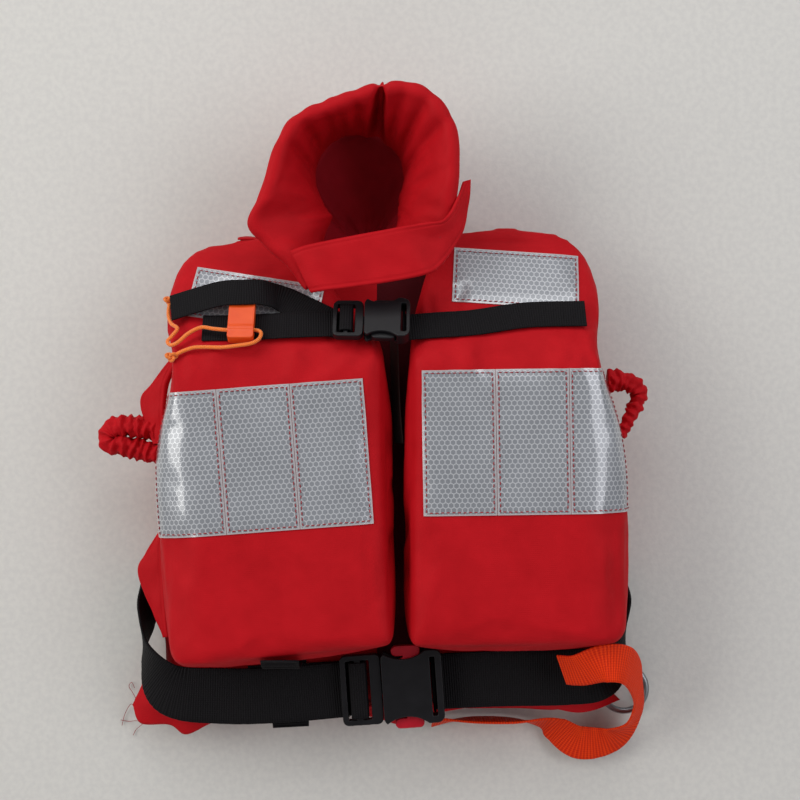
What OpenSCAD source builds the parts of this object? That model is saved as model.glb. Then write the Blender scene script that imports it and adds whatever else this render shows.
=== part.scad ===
// Child's foam life jacket, lying on its back with both buckles fastened.
// X runs across the jacket, Y from hem to collar, Z up from the surface it lies on.

/* [Back panel] */
// Half of the width of the back panel
back_half_w = 160; // [140:1:180]
// Lowest point of the back panel's hem
back_hem_y = -200; // [-220:1:-185]
// Top edge of the back panel, behind the neck
back_top_y = 130; // [125:1:140]
// Thickness of the back panel with its cloth
back_t = 38; // [25:1:50]

/* [Front panels] */
// Width of the wearer's right front panel, on the left here
left_w = 158; // [130:1:160]
// Width of the wearer's left front panel, on the right here
right_w = 146; // [125:1:150]
// Length of a front panel from hem to shoulder
front_len = 277; // [245:1:285]
// Thickness of a front panel with its cloth
front_t = 60; // [40:1:75]
// Height along the panel at which the shoulder starts to slope
shoulder_start = 190; // [170:1:200]
// Fall of the shoulder for each millimetre along it
shoulder_fall = 0.62; // [0.4:0.02:0.65]
// Horizontal reach of the rounded edge of a panel
edge_round = 15; // [10:1:26]

/* [Cloth and foam] */
// Thickness of the cover cloth with its seam allowance
cloth_t = 1.2; // [0.8:0.1:2]
// Room between the foam and the cloth round it
foam_gap = 0.5; // [0.3:0.1:1.5]
// Room between one stacked layer and the next
layer_gap = 0.4; // [0.3:0.1:1]

/* [Collar] */
// Half of the thickness of the padded collar wall
collar_half_t = 10; // [7:0.5:12]
// Height of the collar's rim above the floor
collar_rim_z = 106; // [90:1:125]
// Width of the band across the front of the neck
neck_band_w = 30; // [22:1:38]

/* [Reflective tape] */
// Height of a reflective strip along the jacket
tape_len = 94; // [70:1:100]
// Width of one reflective strip
tape_w = 47.5; // [38:0.5:50]
// Thickness of the tape
tape_t = 0.6; // [0.4:0.1:1]

/* [Waist belt] */
// Width of the waist webbing
waist_web_w = 38; // [30:1:40]
// Thickness of the waist webbing
waist_web_t = 1.8; // [1.2:0.1:2.4]
// Length of the fastened waist buckle
waist_buckle_l = 69; // [62:1:74]
// Height of the waist buckle's case
waist_buckle_t = 13; // [11:0.5:15]
// Distance that the plug travels out of the socket
waist_release = 36; // [30:1:40]

/* [Chest strap] */
// Width of the chest webbing
chest_web_w = 20; // [16:1:25]
// Thickness of the chest webbing
chest_web_t = 1.5; // [1:0.1:2]
// Length of the fastened chest buckle
chest_buckle_l = 50; // [44:1:56]
// Height of the chest buckle's case
chest_buckle_t = 10; // [9:0.5:12]
// Distance that the plug travels out of the socket
chest_release = 26; // [22:1:30]

/* [Small parts] */
// Width of the orange lifting webbing
lift_web_w = 25; // [20:1:30]
// Diameter of the whistle's cord
lanyard_d = 2.5; // [2:0.1:3]
// Width of the whistle
whistle_w = 17; // [14:0.5:20]
// Length of the whistle
whistle_l = 38; // [32:1:42]
// Thickness of the whistle
whistle_t = 7; // [6:0.5:8]
// Outer diameter of a gathered elastic loop
elastic_d = 11; // [8:0.5:13]
// Outer radius of the metal ring
ring_r = 18; // [14:0.5:20]

/* [Hidden] */

red = "#b81a24";
black = "#17171a";
orange = "#e4501c";
silver = "#a9b0b8";
foam_grey = "#d8d8d4";

// Heights of the layers, from the floor up
back_cover_z = cloth_t;
back_top_z = back_t;
belt_channel = waist_web_t + 2 * layer_gap;
front_lining_z = back_top_z + layer_gap;
front_cover_z = front_lining_z + cloth_t;
front_top_z = front_cover_z + front_t;

// A front panel is placed by its inner hem corner and its turn about that corner:
// [x, y, turn, how far the outer hem corner drops, how far the neck cuts in]
front_hem_y = -142;
left_place = [12, front_hem_y, 4.3, -5, 26];
right_place = [20, front_hem_y - 2, 0.8, 0, 6];

// ---- vector and curve helpers ----
function unit(v) = v / norm(v);
function mix(a, b, t) = a + (b - a) * t;
function mean(p) = [for (k = [0:len(p[0]) - 1]) let (s = [for (q = p) q[k]]) sum(s) / len(s)];
function sum(v, i = 0) = i < len(v) ? v[i] + sum(v, i + 1) : 0;
function turn2(p, a) = [p[0] * cos(a) - p[1] * sin(a), p[0] * sin(a) + p[1] * cos(a)];

// Closed outline with each corner [x, y, r] rounded by a quadratic arc
function rounded(c, n = 3) = [for (i = [0:len(c) - 1]) let (
        p = [c[i][0], c[i][1]],
        q = c[(i + len(c) - 1) % len(c)],
        s = c[(i + 1) % len(c)],
        back = [q[0], q[1]] - p,
        on = [s[0], s[1]] - p,
        a = p + unit(back) * min(c[i][2], norm(back) * 0.48),
        b = p + unit(on) * min(c[i][2], norm(on) * 0.48))
    for (k = [0:n]) let (t = k / n) a * (1 - t) * (1 - t) + p * 2 * t * (1 - t) + b * t * t];

// Smooth open line through its points
function through(a, b, c, d, t) = 0.5 * (2 * b + (c - a) * t + (2 * a - 5 * b + 4 * c - d) * t * t
    + (3 * b - a - 3 * c + d) * t * t * t);
function smooth_line(p, n) = [for (i = [0:len(p) - 2]) for (k = [0:n - 1])
        through(p[max(i - 1, 0)], p[i], p[i + 1], p[min(i + 2, len(p) - 1)], k / n),
    p[len(p) - 1]];
function heading(p, i) = unit(p[min(i + 1, len(p) - 1)] - p[max(i - 1, 0)]);

// Closed solid through a list of rings, each closed by a fan at its end
module loft(rings) {
    m = len(rings[0]);
    n = len(rings);
    points = concat([for (r = rings) each r], [mean(rings[0]), mean(rings[n - 1])]);
    faces = concat(
        [for (i = [0:n - 2]) for (j = [0:m - 1]) [i * m + j, (i + 1) * m + j, (i + 1) * m + (j + 1) % m]],
        [for (i = [0:n - 2]) for (j = [0:m - 1]) [i * m + j, (i + 1) * m + (j + 1) % m, i * m + (j + 1) % m]],
        [for (j = [0:m - 1]) [n * m, j, (j + 1) % m]],
        [for (j = [0:m - 1]) [n * m + 1, (n - 1) * m + (j + 1) % m, (n - 1) * m + j]]);
    polyhedron(points, faces, convexity = 6);
}

// Flat webbing along a route; face gives the side that looks outward at each point
module ribbon(route, face, w, t, n = 3) {
    p = smooth_line(route, n);
    f = smooth_line(face, n);
    loft([for (i = [0:len(p) - 1]) let (d = heading(p, i), s = unit(cross(f[i], d)), u = cross(d, s))
        [p[i] - s * w / 2 - u * t / 2, p[i] + s * w / 2 - u * t / 2,
         p[i] + s * w / 2 + u * t / 2, p[i] - s * w / 2 + u * t / 2]]);
}

// Round tube along a route that never runs straight up
module tube(route, d, n = 2, sides = 8) {
    p = smooth_line(route, n);
    loft([for (i = [0:len(p) - 1]) let (h = heading(p, i), s = unit(cross([0, 0, 1], h)), u = cross(h, s))
        [for (k = [0:sides - 1]) p[i] + (s * cos(360 * k / sides) + u * sin(360 * k / sides)) * d / 2]]);
}

// ---- padded panels ----
// Moves each outline point straight towards the middle by d
function drawn_in(outline, mid, d) = [for (p = outline) let (v = mid - p) p + unit(v) * d];

// Puffed slab: its edge is a half ellipse, and top(y) gives the height of its upper face.
// inset shrinks it on the sides and on top; open_below carries it down past its base.
module pillow(outline, base, height, reach, inset = 0, lift = 0, open_below = false) {
    mid = mean(outline);
    steps = 6;
    rings = [for (k = [0:steps]) let (a = -90 + 180 * k / steps,
            flat = drawn_in(outline, mid, reach * (1 - cos(a)) + inset))
        [for (p = flat) [p[0], p[1], base + lift + (height_at(height, p[1]) - inset - lift)
            * (1 + sin(a)) / 2]]];
    top = rings[steps];
    inner = [for (s = [0.6, 0.25]) [for (p = top) let (q = mix(mid, [p[0], p[1]], s))
        [q[0], q[1], base + height_at(height, q[1]) - inset]]];
    below = open_below ? [[for (p = rings[0]) [p[0], p[1], p[2] - 2]]] : [];
    loft(concat(below, rings, inner));
}
// height is [full height, y where the slope starts, fall]
function height_at(h, y) = h[0] - max(0, min(y - h[1], 80)) * h[2];

back_outline = rounded([
    [-back_half_w + 4, back_hem_y, 30], [back_half_w - 6, back_hem_y, 34],
    [back_half_w, -120, 30], [back_half_w - 6, 0, 40], [back_half_w - 22, 40, 30],
    [back_half_w - 18, 92, 26], [back_half_w - 36, back_top_y, 22], [30, back_top_y, 12],
    [0, back_top_y - 8, 30],
    [-30, back_top_y, 12], [-back_half_w + 36, back_top_y, 22], [-back_half_w + 16, 90, 26],
    [-back_half_w + 22, 42, 30], [-back_half_w + 2, 0, 40], [-back_half_w, -120, 30]]);
back_height = [back_top_z - back_cover_z, 400, 0];
back_reach = 16;

// Front panel in its own frame: inner edge up x = 0, hem along y = 0
function front_shape(w, place) = let (drop = place[3], cut = place[4], top = front_len) rounded([
    [10, 0, 10], [w - 7, drop, 24], [w, top * 0.48, 40], [w - 23, top * 0.71, 34],
    [w - 16, top * 0.84, 26], [w - 38, top - 6, 26], [60, top, 20], [cut + 14, top - 8, 12],
    [cut, top - 40, 20], [2, top - 72, 18], [0, top * 0.45, 40]]);
// Right panel as drawn, left panel mirrored, both turned and moved into place
function placed(shape, place) = [for (p = shape) turn2(p, place[2]) + [place[0], place[1]]];
function mirrored(shape) = [for (i = [len(shape) - 1:-1:0]) [-shape[i][0], shape[i][1]]];
right_outline = placed(front_shape(right_w, right_place), right_place);
left_outline = placed(mirrored(front_shape(left_w, left_place)), left_place);
front_height = [front_t, front_hem_y + shoulder_start, shoulder_fall];
function front_surface(y) = front_cover_z + height_at(front_height, y);

module lining(outline, base, reach) {
    color(red) translate([0, 0, base]) linear_extrude(cloth_t)
        polygon(drawn_in(outline, mean(outline), reach));
}
module cover(outline, base, height, reach) {
    difference() {
        pillow(outline, base, height, reach);
        pillow(outline, base, height, reach, inset = cloth_t, open_below = true);
    }
}
module foam(outline, base, height, reach, lift = 0) {
    color(foam_grey) pillow(outline, base, height, reach, inset = cloth_t + foam_gap, lift = lift);
}

module back_lining() lining(back_outline, 0, back_reach);
module back_cover() color(red) difference() {
    cover(back_outline, back_cover_z, back_height, back_reach);
    translate([-200, belt_rear_y - waist_web_w / 2 - layer_gap, back_cover_z - 1])
        cube([400, waist_web_w + 2 * layer_gap, belt_channel + 1]);
}
module back_foam() foam(back_outline, back_cover_z, back_height, back_reach, lift = belt_channel);
module left_front_lining() lining(left_outline, front_lining_z, edge_round);
module left_front_cover() color(red) cover(left_outline, front_cover_z, front_height, edge_round);
module left_front_foam() foam(left_outline, front_cover_z, front_height, edge_round, lift = foam_gap);
module right_front_lining() lining(right_outline, front_lining_z, edge_round);
module right_front_cover() color(red) cover(right_outline, front_cover_z, front_height, edge_round);
module right_front_foam() foam(right_outline, front_cover_z, front_height, edge_round, lift = foam_gap);

// Cloth that joins the back panel to a front panel over the shoulder
yoke_h = 26;
module yoke(outline, x0, x1) {
    y = max(back_top_y, max([for (p = outline) p[1]])) + cloth_t / 2 + layer_gap;
    color(red) translate([x0, y - cloth_t / 2, back_top_z - yoke_h * 0.7]) cube([x1 - x0, cloth_t, yoke_h]);
}
module left_shoulder_yoke() yoke(left_outline, -100, -50);
module right_shoulder_yoke() yoke(right_outline, 56, 106);

// ---- collar ----
collar_from = -20;
collar_to = 222;
collar_steps = 14;
rim_mid = [-15, 152];
rim_r = [56, 70];
base_mid = [-10, 160];
base_r = [44, 50];
// Height of the collar's base: low behind the neck, up on the shoulders at its two ends
function collar_base_z(a) = 28 + 46 * pow(abs(a - 100) / 120, 2);
function collar_rim(a) = [rim_mid[0] + rim_r[0] * cos(a), rim_mid[1] + rim_r[1] * sin(a),
    collar_rim_z - collar_half_t];
function collar_base(a) = [base_mid[0] + base_r[0] * cos(a), base_mid[1] + base_r[1] * sin(a),
    collar_base_z(a)];
// One section of the wall: a strip with round ends from base to rim
function collar_section(a, half, below) = let (
        b = collar_base(a), r = collar_rim(a), u = unit(r - b),
        n = unit(cross([-sin(a), cos(a), 0], u)))
    concat([for (k = [0:4]) let (t = -90 + 45 * k) r + (u * cos(t) + n * sin(t)) * half],
        below > 0 ? [b + n * half] : [],
        [for (k = [0:4]) let (t = 90 + 45 * k) b - u * below + (u * cos(t) + n * sin(t)) * half],
        below > 0 ? [b - n * half] : []);
// trim draws in the two ends by a share of a step, below carries the base edge further down
module collar_wall(half, trim, below = 0) {
    all = [for (k = [0:collar_steps])
        collar_section(mix(collar_from, collar_to, k / collar_steps), half, below)];
    last = collar_steps;
    loft([for (k = [0:last]) k == 0 ? between(all[0], all[1], trim)
        : k == last ? between(all[last], all[last - 1], trim) : all[k]]);
}
function between(p, q, share) = [for (i = [0:len(p) - 1]) mix(p[i], q[i], share)];
// The cover is open along its base edge, where the foam goes in
module collar_cover() color(red) difference() {
    collar_wall(collar_half_t, 0);
    collar_wall(collar_half_t - cloth_t, 0.12, below = 2 * collar_half_t);
}
module collar_foam() color(foam_grey) collar_wall(collar_half_t - cloth_t - 3 * foam_gap, 0.16);

// Band across the front of the neck, sewn at its left end, hook-and-loop at its right end
band_z = collar_rim_z + 6;
band_route = [[-50, 103, band_z - 1], [-5, 111, band_z + 1], [30, 117, band_z], [44, 120, band_z - 5],
    [52, 124, band_z - 16], [56, 130, band_z - 30]];
band_face = [[0, 0, 1], [0, 0, 1], [0.1, 0, 1], [0.6, 0, 0.8], [0.95, -0.1, 0.3], [1, -0.15, 0.1]];
module neck_band() color(red) ribbon(band_route, band_face, neck_band_w, 2);
patch_t = 1.2;
patch_inset = 2 / 2 + patch_t / 2 + 0.1;
module hook_patch() color(black) ribbon(
    [for (i = [4, 5]) band_route[i] - unit(band_face[i]) * patch_inset],
    [band_face[4], band_face[5]], neck_band_w - 8, patch_t);
module loop_patch() color(black) ribbon(
    [for (i = [4, 5]) band_route[i] - unit(band_face[i]) * (patch_inset + patch_t + 0.4)],
    [band_face[4], band_face[5]], neck_band_w - 8, patch_t);

// ---- reflective tape ----
// A strip is the part of a thin shell over the panel that lies inside a window
module tape(outline, corner, turn, along, w, h) {
    color(silver) intersection() {
        difference() {
            pillow(outline, front_cover_z, front_height, edge_round, inset = -0.1 - tape_t);
            pillow(outline, front_cover_z, front_height, edge_round, inset = -0.1, open_below = true);
        }
        translate([corner[0], corner[1], front_cover_z + front_t * 0.45]) rotate(turn)
            translate([along, -h, 0]) cube([w - 0.3, h, front_t]);
    }
}
left_tape_corner = [-13, 35];
right_tape_corner = [25, 40];
module left_tape(k) tape(left_outline, left_tape_corner, left_place[2], -(k + 1) * tape_w, tape_w, tape_len);
module right_tape(k) tape(right_outline, right_tape_corner, right_place[2], k * tape_w, tape_w, tape_len);
module left_tape_inner() left_tape(0);
module left_tape_middle() left_tape(1);
module left_tape_outer() left_tape(2);
module right_tape_inner() right_tape(0);
module right_tape_middle() right_tape(1);
module right_tape_outer() right_tape(2);
module left_shoulder_tape() tape(left_outline, [-125, 110], -9, 0, 78, 34);
module right_shoulder_tape() tape(right_outline, [48, 124], -4, 0, 84, 38);

// ---- waist belt ----
belt_rear_y = -116;
belt_rear_z = back_cover_z + layer_gap + waist_web_t / 2;
belt_front_z = back_top_z + 8;
belt_front_y = -155 - waist_web_w / 2;
side_x = back_half_w + 2;
belt_exit_x = back_half_w - 8;
waist_at = [5.6, belt_front_y, back_top_z + 14.5];
waist_turn = 4;
// A point of the waist buckle's own frame in the jacket's frame
function waist_point(p) = waist_at + waist_dir(p);
function waist_dir(p) = let (q = turn2(p, waist_turn)) [q[0], q[1], p[2]];
up = [0, 0, 1];
module waist_belt_rear() color(black) ribbon(
    [[belt_exit_x, belt_rear_y, belt_rear_z], [0, belt_rear_y, belt_rear_z],
     [-belt_exit_x, belt_rear_y, belt_rear_z]], [-up, -up, -up], waist_web_w, waist_web_t, 1);
module waist_belt_left() color(black) ribbon(
    [[-belt_exit_x - 0.2, belt_rear_y, belt_rear_z], [-belt_exit_x - 4, belt_rear_y, belt_rear_z],
     [-side_x, belt_rear_y, belt_rear_z + 3],
     [-side_x - 4, -121, 14], [-side_x - 5, -134, 26], [-side_x - 2, -156, 38],
     [14 - back_half_w, belt_front_y - 3, belt_front_z + 1],
     [50 - back_half_w, belt_front_y - 7, belt_front_z + 1.5], [-70, belt_front_y - 6, belt_front_z + 2.5],
     waist_point([under_x(waist_b), 0, -under_h(waist_b, waist_web_t)])],
    [-up, -up, [-0.3, 0, -1], [-1, 0, -0.3], [-1, -0.3, 0.1], [-0.8, -0.5, 0.6], [-0.2, -0.2, 1], up, up, up],
    waist_web_w, waist_web_t);
module waist_belt_right() color(black) ribbon(
    concat([for (p = socket_turn(waist_b, waist_web_t)) waist_point(p)],
    [[80, belt_front_y + 5, belt_front_z + 2], [back_half_w - 35, belt_front_y + 6, belt_front_z + 2],
     [back_half_w - 12, belt_front_y + 9, belt_front_z], [side_x + 2, -150, 38], [side_x + 5, -132, 26],
     [side_x + 4, -121, 14],
     [side_x, belt_rear_y, belt_rear_z + 3], [belt_exit_x + 4, belt_rear_y, belt_rear_z],
     [belt_exit_x + 0.2, belt_rear_y, belt_rear_z]]),
    concat([for (v = socket_turn_face) waist_dir(v)], [up, up, [0.2, -0.1, 1], [0.8, -0.4, 0.6], [1, -0.3, 0.1], [1, 0, -0.3],
     [0.3, 0, -1], -up, -up]), waist_web_w, waist_web_t);
waist_tail_len = 64;
module waist_belt_tail() color(black) ribbon(
    [for (p = concat(plug_turn(waist_b, waist_web_t), [[-45, 0, -7.4], [-34 - waist_tail_len, 1, -7.8]]))
        waist_point(p)],
    concat([for (v = plug_turn_face) waist_dir(v)], [-up, -up]), waist_web_w, waist_web_t);
module belt_tab() color(black) ribbon(
    [[-67, -148, front_top_z - 3], [-67, -154, front_top_z - 13], [-67, -156, front_cover_z + 30],
     [-67, -153, front_cover_z + 18], [-67, -149.5, front_cover_z + 8], [-66, -152, back_top_z + 3.5],
     [-66, -166, back_top_z + 1.5], [-64, belt_front_y - 30, back_top_z + 1.5]],
    [[0, -0.5, 1], [0, -1, 0.5], [0, -1, 0], [0, -1, -0.3], [0, -1, 0.2], [0, -0.6, 1], up, up],
    lift_web_w, 1.2);

// ---- side-release buckles, drawn with the strap along X and the mouth of the socket facing -X ----
// b = [length, webbing width, case height, width over the tabs]
waist_b = [waist_buckle_l, waist_web_w, waist_buckle_t, waist_web_w + 19];
chest_b = [chest_buckle_l, chest_web_w, chest_buckle_t, chest_web_w + 11];
function mouth_x(b) = -b[0] * 0.095;
function rail(b) = b[1] * 0.04 + 2.2;
function frame_w(b) = b[1] + 2 * rail(b) + 2;
function plate_t(b) = b[2] * 0.24;
function tab_t(b) = b[2] - 2 * plate_t(b) - 1;
function end_block(b) = b[0] * 0.17;
// Places where the webbing passes the plug: under its outer bar, up through the outer slot,
// over the middle bar, down through the inner slot and back underneath
function plug_l(b) = mouth_x(b) + b[0] / 2 - 0.4;
function under_h(b, t) = b[2] * 0.27 + t / 2 + 0.4;
function slot_x(b, k) = -b[0] / 2 + plug_l(b) * [0.25, 0.61][k];
function under_x(b) = slot_x(b, 0) - 3;
function plug_turn(b, t) = let (h = under_h(b, t), low = -h - t - 1, x1 = slot_x(b, 0), x2 = slot_x(b, 1))
    [[x1, 0, 0.6 - h], [x1, 0, h - 1.5], [x1 + 1.5, 0, h], [x2 - 1.5, 0, h], [x2, 0, h - 1.5],
     [x2, 0, -h], [x2 - 2, 0, low], [x1 - 2, 0, low]];
plug_turn_face = [[-1, 0, 0], [-1, 0, 0.3], [-0.5, 0, 1], [0.5, 0, 1], [1, 0, 0.3], [1, 0, 0],
    [0.5, 0, -1], [0, 0, -1]];
// The socket's webbing comes down through its slot and out under the end bar
function socket_turn(b, t) = let (x = b[0] / 2 - end_block(b) * 0.68 + 1.7, low = -b[2] / 2 - t / 2 - 1)
    [[x, 0, 0], [x, 0, low + 1.5], [x + 2.2, 0, low], [b[0] / 2 + 1, 0, low]];
socket_turn_face = [[1, 0, 0], [1, 0, 0.2], [0.3, 0, 1], [0, 0, 1]];
module slab(l, w, t, r) {
    translate([0, 0, -t / 2]) linear_extrude(t) translate([r, -w / 2 + r]) offset(r = r, $fn = 20)
        square([l - 2 * r, w - 2 * r]);
}
// Case of the socket: two plates joined at the strap end, with the sides open for the tabs
module socket(b) {
    l = b[0] / 2 - mouth_x(b);
    w = frame_w(b) + 2;
    difference() {
        translate([mouth_x(b), 0, 0]) slab(l, w, b[2], 5);
        translate([mouth_x(b) - 1, -b[3], -b[2] / 2 + plate_t(b)])
            cube([l + 1 - end_block(b), 2 * b[3], b[2] - 2 * plate_t(b)]);
        for (s = [-1, 1]) translate([mouth_x(b) + l * 0.38, s * (w / 2 + l * 0.42), -b[2]])
            cylinder(h = 2 * b[2], r = l * 0.55, $fn = 48);
        translate([b[0] / 2 - end_block(b) * 0.68, -b[1] / 2 - 1, -b[2]])
            cube([3.4, b[1] + 2, 2 * b[2]]);
    }
}
// Frame with two slots that grip the webbing, and the guide that enters the socket
module plug(b) {
    l = plug_l(b);
    w = frame_w(b);
    t = b[2] * 0.54;
    difference() {
        translate([-b[0] / 2, 0, 0]) slab(l, w, t, 4);
        for (x = [0.14, 0.5]) translate([-b[0] / 2 + l * x, -b[1] / 2 - 1, -b[2]])
            cube([l * 0.22, b[1] + 2, 2 * b[2]]);
    }
    translate([-b[0] / 2 + l - 0.1, -b[1] * 0.08, -tab_t(b) / 2])
        cube([b[0] / 2 - mouth_x(b) - end_block(b) + 0.1, b[1] * 0.16, tab_t(b)]);
}
// Sprung prong with its push pad, on the +Y side; it turns about its root at the mouth
function tab_root(b) = [mouth_x(b) + 1.2, b[1] * 0.3, 0];
module tab(b) {
    l = b[0] / 2 - mouth_x(b);
    root = tab_root(b);
    reach = l * 0.66;
    pad = [root[0] + reach * 0.55, b[3] / 2 - 5];
    translate([0, 0, -tab_t(b) / 2]) linear_extrude(tab_t(b)) union() {
        translate([root[0], root[1]]) circle(r = 1.1, $fn = 24);
        hull() {
            translate([root[0], root[1]]) circle(r = 1, $fn = 24);
            translate([pad[0] + reach * 0.3, pad[1] - 1]) circle(r = 2.4, $fn = 24);
        }
        hull() {
            translate([pad[0] - reach * 0.2, pad[1] + 1]) circle(r = 3.4, $fn = 24);
            translate([pad[0] + reach * 0.28, pad[1] + 1]) circle(r = 3.4, $fn = 24);
        }
    }
}
module at_waist() translate(waist_at) rotate(waist_turn) children();
module waist_socket() color(black) at_waist() socket(waist_b);
module waist_plug() color(black) at_waist() plug(waist_b);
module waist_tab_upper() color(red) at_waist() tab(waist_b);
module waist_tab_lower() color(red) at_waist() mirror([0, 1, 0]) tab(waist_b);

// ---- chest strap: it lies across the slope of the shoulders ----
chest_slope = -atan(shoulder_fall);
chest_at = [-7.5, 72.6, front_surface(72.6) + 10];
chest_turn = -1;
module at_chest() translate(chest_at) rotate([chest_slope, 0, 0]) rotate(chest_turn) children();
slope_face = unit([0, shoulder_fall, 1]);
function on_slope(x, y, above) = [x, y, front_surface(y)] + slope_face * above;
function chest_point(p) = let (q = turn2(p, chest_turn)) chest_at + [q[0],
    q[1] * cos(chest_slope) - p[2] * sin(chest_slope), q[1] * sin(chest_slope) + p[2] * cos(chest_slope)];
// A direction of the chest buckle's own frame in the jacket's frame
function chest_dir(v) = chest_point(v) - chest_at;
module chest_socket() color(black) at_chest() socket(chest_b);
module chest_plug() color(black) at_chest() plug(chest_b);
module chest_tab_upper() color(black) at_chest() tab(chest_b);
module chest_tab_lower() color(black) at_chest() mirror([0, 1, 0]) tab(chest_b);
module chest_strap_right() color(black) ribbon(
    concat([for (p = socket_turn(chest_b, chest_web_t)) chest_point(p)],
        [on_slope(34, 69, 1.8), on_slope(60, 71, 1.6), on_slope(94, 76, 1.6), on_slope(133, 77, 1.6)]),
    concat([for (v = socket_turn_face) chest_dir(v)], [for (i = [0:3]) slope_face]),
    chest_web_w, chest_web_t);
module chest_strap_left() color(black) ribbon(
    [on_slope(-118, 67, 1.6), on_slope(-90, 67.5, 1.6), on_slope(-60, 67.5, 4.5),
     chest_point([under_x(chest_b), 0, -under_h(chest_b, chest_web_t)])],
    [for (i = [0:3]) slope_face], chest_web_w, chest_web_t);
// The spare end passes over the strap beside it, so it lies a strap's width away
tail_y = 66 + chest_web_w;
module chest_strap_tail() color(black) ribbon(
    concat([for (p = plug_turn(chest_b, chest_web_t)) chest_point(p)],
        [on_slope(-40, 74, 1.8), on_slope(-54, tail_y - 5, 1.7), on_slope(-67, tail_y, 3.5),
         on_slope(-79, tail_y, 10.5), on_slope(-92, tail_y - 1, 12.4), on_slope(-106, tail_y - 1, 11),
         on_slope(-124, tail_y - 3, 6), on_slope(-140, tail_y - 5, 1)]),
    concat([for (v = plug_turn_face) chest_dir(v)], [for (i = [0:7]) -slope_face]),
    chest_web_w, chest_web_t);

// ---- whistle and its cord ----
whistle_at = on_slope(-92, 72, 7);
bore_y = -whistle_l / 2 + 8;
module at_whistle() translate(whistle_at) rotate([chest_slope, 0, 0]) children();
module whistle() color(orange) at_whistle() difference() {
    union() {
        translate([0, 0, -whistle_t / 2]) linear_extrude(whistle_t)
            translate([-whistle_w / 2 + 2, -whistle_l / 2 + 2])
            offset(r = 2, $fn = 16) square([whistle_w - 4, whistle_l - 4]);
        translate([-whistle_w / 2, bore_y, 0]) rotate([0, 90, 0])
            cylinder(h = whistle_w, d = whistle_t + 1, $fn = 32);
    }
    translate([-whistle_w, bore_y, 0]) rotate([0, 90, 0]) cylinder(h = 2 * whistle_w, d = lanyard_d + 0.8, $fn = 24);
    translate([-whistle_w / 2 + 2, 2, -whistle_t / 2 + 2]) cube([whistle_w - 4, whistle_l / 2, whistle_t - 4]);
    translate([-whistle_w / 2 + 4, 1, -whistle_t]) cube([whistle_w - 8, 5, whistle_t]);
}
// Route of the cord from the whistle's middle, hand chosen: across, along the slope, off the slope
cord_route = [[-50, 16, -9.4], [-50, 8, -9.4], [-47, -1, -7], [-42, -7, -4], [-45, -12, -5], [-48, -16, -6],
    [-45, -19.5, -5], [-40, -18, -3], [-34, -13, -1], [-26, -9, 0], [-18, -10, 0], [-9, -11, 0], [0, -11, 0],
    [9, -11, 0], [13, -13, 0], [12, -18, 0], [7, -21.5, 0], [-2, -22.5, -1], [-12, -22.5, -3],
    [-22, -22, -3.5], [-30, -22, -4], [-37, -24, -5], [-42, -26, -6.5]];
function cord_point(p) = whistle_at + [p[0], p[1] * cos(chest_slope), p[1] * sin(chest_slope)]
    + slope_face * p[2];
module lanyard() color(orange) tube([for (p = cord_route) cord_point(p)], lanyard_d, 3);
module lanyard_knot() color(orange) translate(cord_point([-44.6, -27, -7.2])) sphere(d = lanyard_d * 2.4, $fn = 24);
module lanyard_anchor() color(orange) translate(cord_point([-50, 19.4, -9.5])) sphere(d = lanyard_d * 2.2, $fn = 24);

// ---- gathered elastic loops at the sides ----
left_loop = [[-149, 1, 46], [-166, 3, 45], [-180, 1, 44], [-185, -6, 44], [-180, -13, 44], [-166, -17, 45],
    [-149, -18, 46]];
right_loop = [[153, 36, 46], [163, 35, 45], [172, 30, 44], [175, 21, 44], [172, 10, 44], [167, 1, 45],
    [161.5, -7, 46]];
module sleeve(route) color(red) difference() {
    tube(route, elastic_d, 3, 12);
    tube(concat([route[0] * 2 - route[1]], route, [route[6] * 2 - route[5]]), elastic_d - 4, 3, 12);
}
module left_elastic_sleeve() sleeve(left_loop);
module right_elastic_sleeve() sleeve(right_loop);
module left_elastic_core() color(foam_grey) tube(left_loop, elastic_d - 5, 3);
module right_elastic_core() color(foam_grey) tube(right_loop, elastic_d - 5, 3);

// ---- lifting loop, ring and label ----
loop_x = back_half_w;
module lifting_loop() color(orange) ribbon(
    [[112, -161, 62], [128, -158, 76], [145, -152, 84], [160, -154, 78], [loop_x + 10, -166, 58],
     [loop_x + 15, -182, 38], [loop_x + 14, -202, 24], [loop_x, -218, 16], [loop_x - 22, -221, 14],
     [loop_x - 38, -212, 14], [112, -207, 14], [90, -205.5, 14], [60, -205, 14], [34, -206, 16]],
    [[-0.3, -0.6, 1], [-0.2, -0.5, 1], [0.1, 0, 1], [0.6, 0.1, 1], [0.9, 0, 0.6], [1, -0.1, 0.4],
     [0.8, -0.5, 0.5], [0.2, -0.6, 1], [-0.2, -0.2, 1], [-0.4, -0.6, 1], [-0.2, -1, 0.5], [0, -1, 0.1],
     [0, -1, 0.1], [0, -1, 0.5]], lift_web_w, 1.6, 3);
module loop_ring() color(silver) translate([loop_x + 10, -184, 8]) rotate_extrude($fn = 48)
    translate([ring_r - 2.2, 0]) circle(r = 2.2, $fn = 20);
module inner_label() color("#3a3230") translate([8, -8, front_cover_z + 8]) cube([0.8, 69, 22]);

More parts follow.
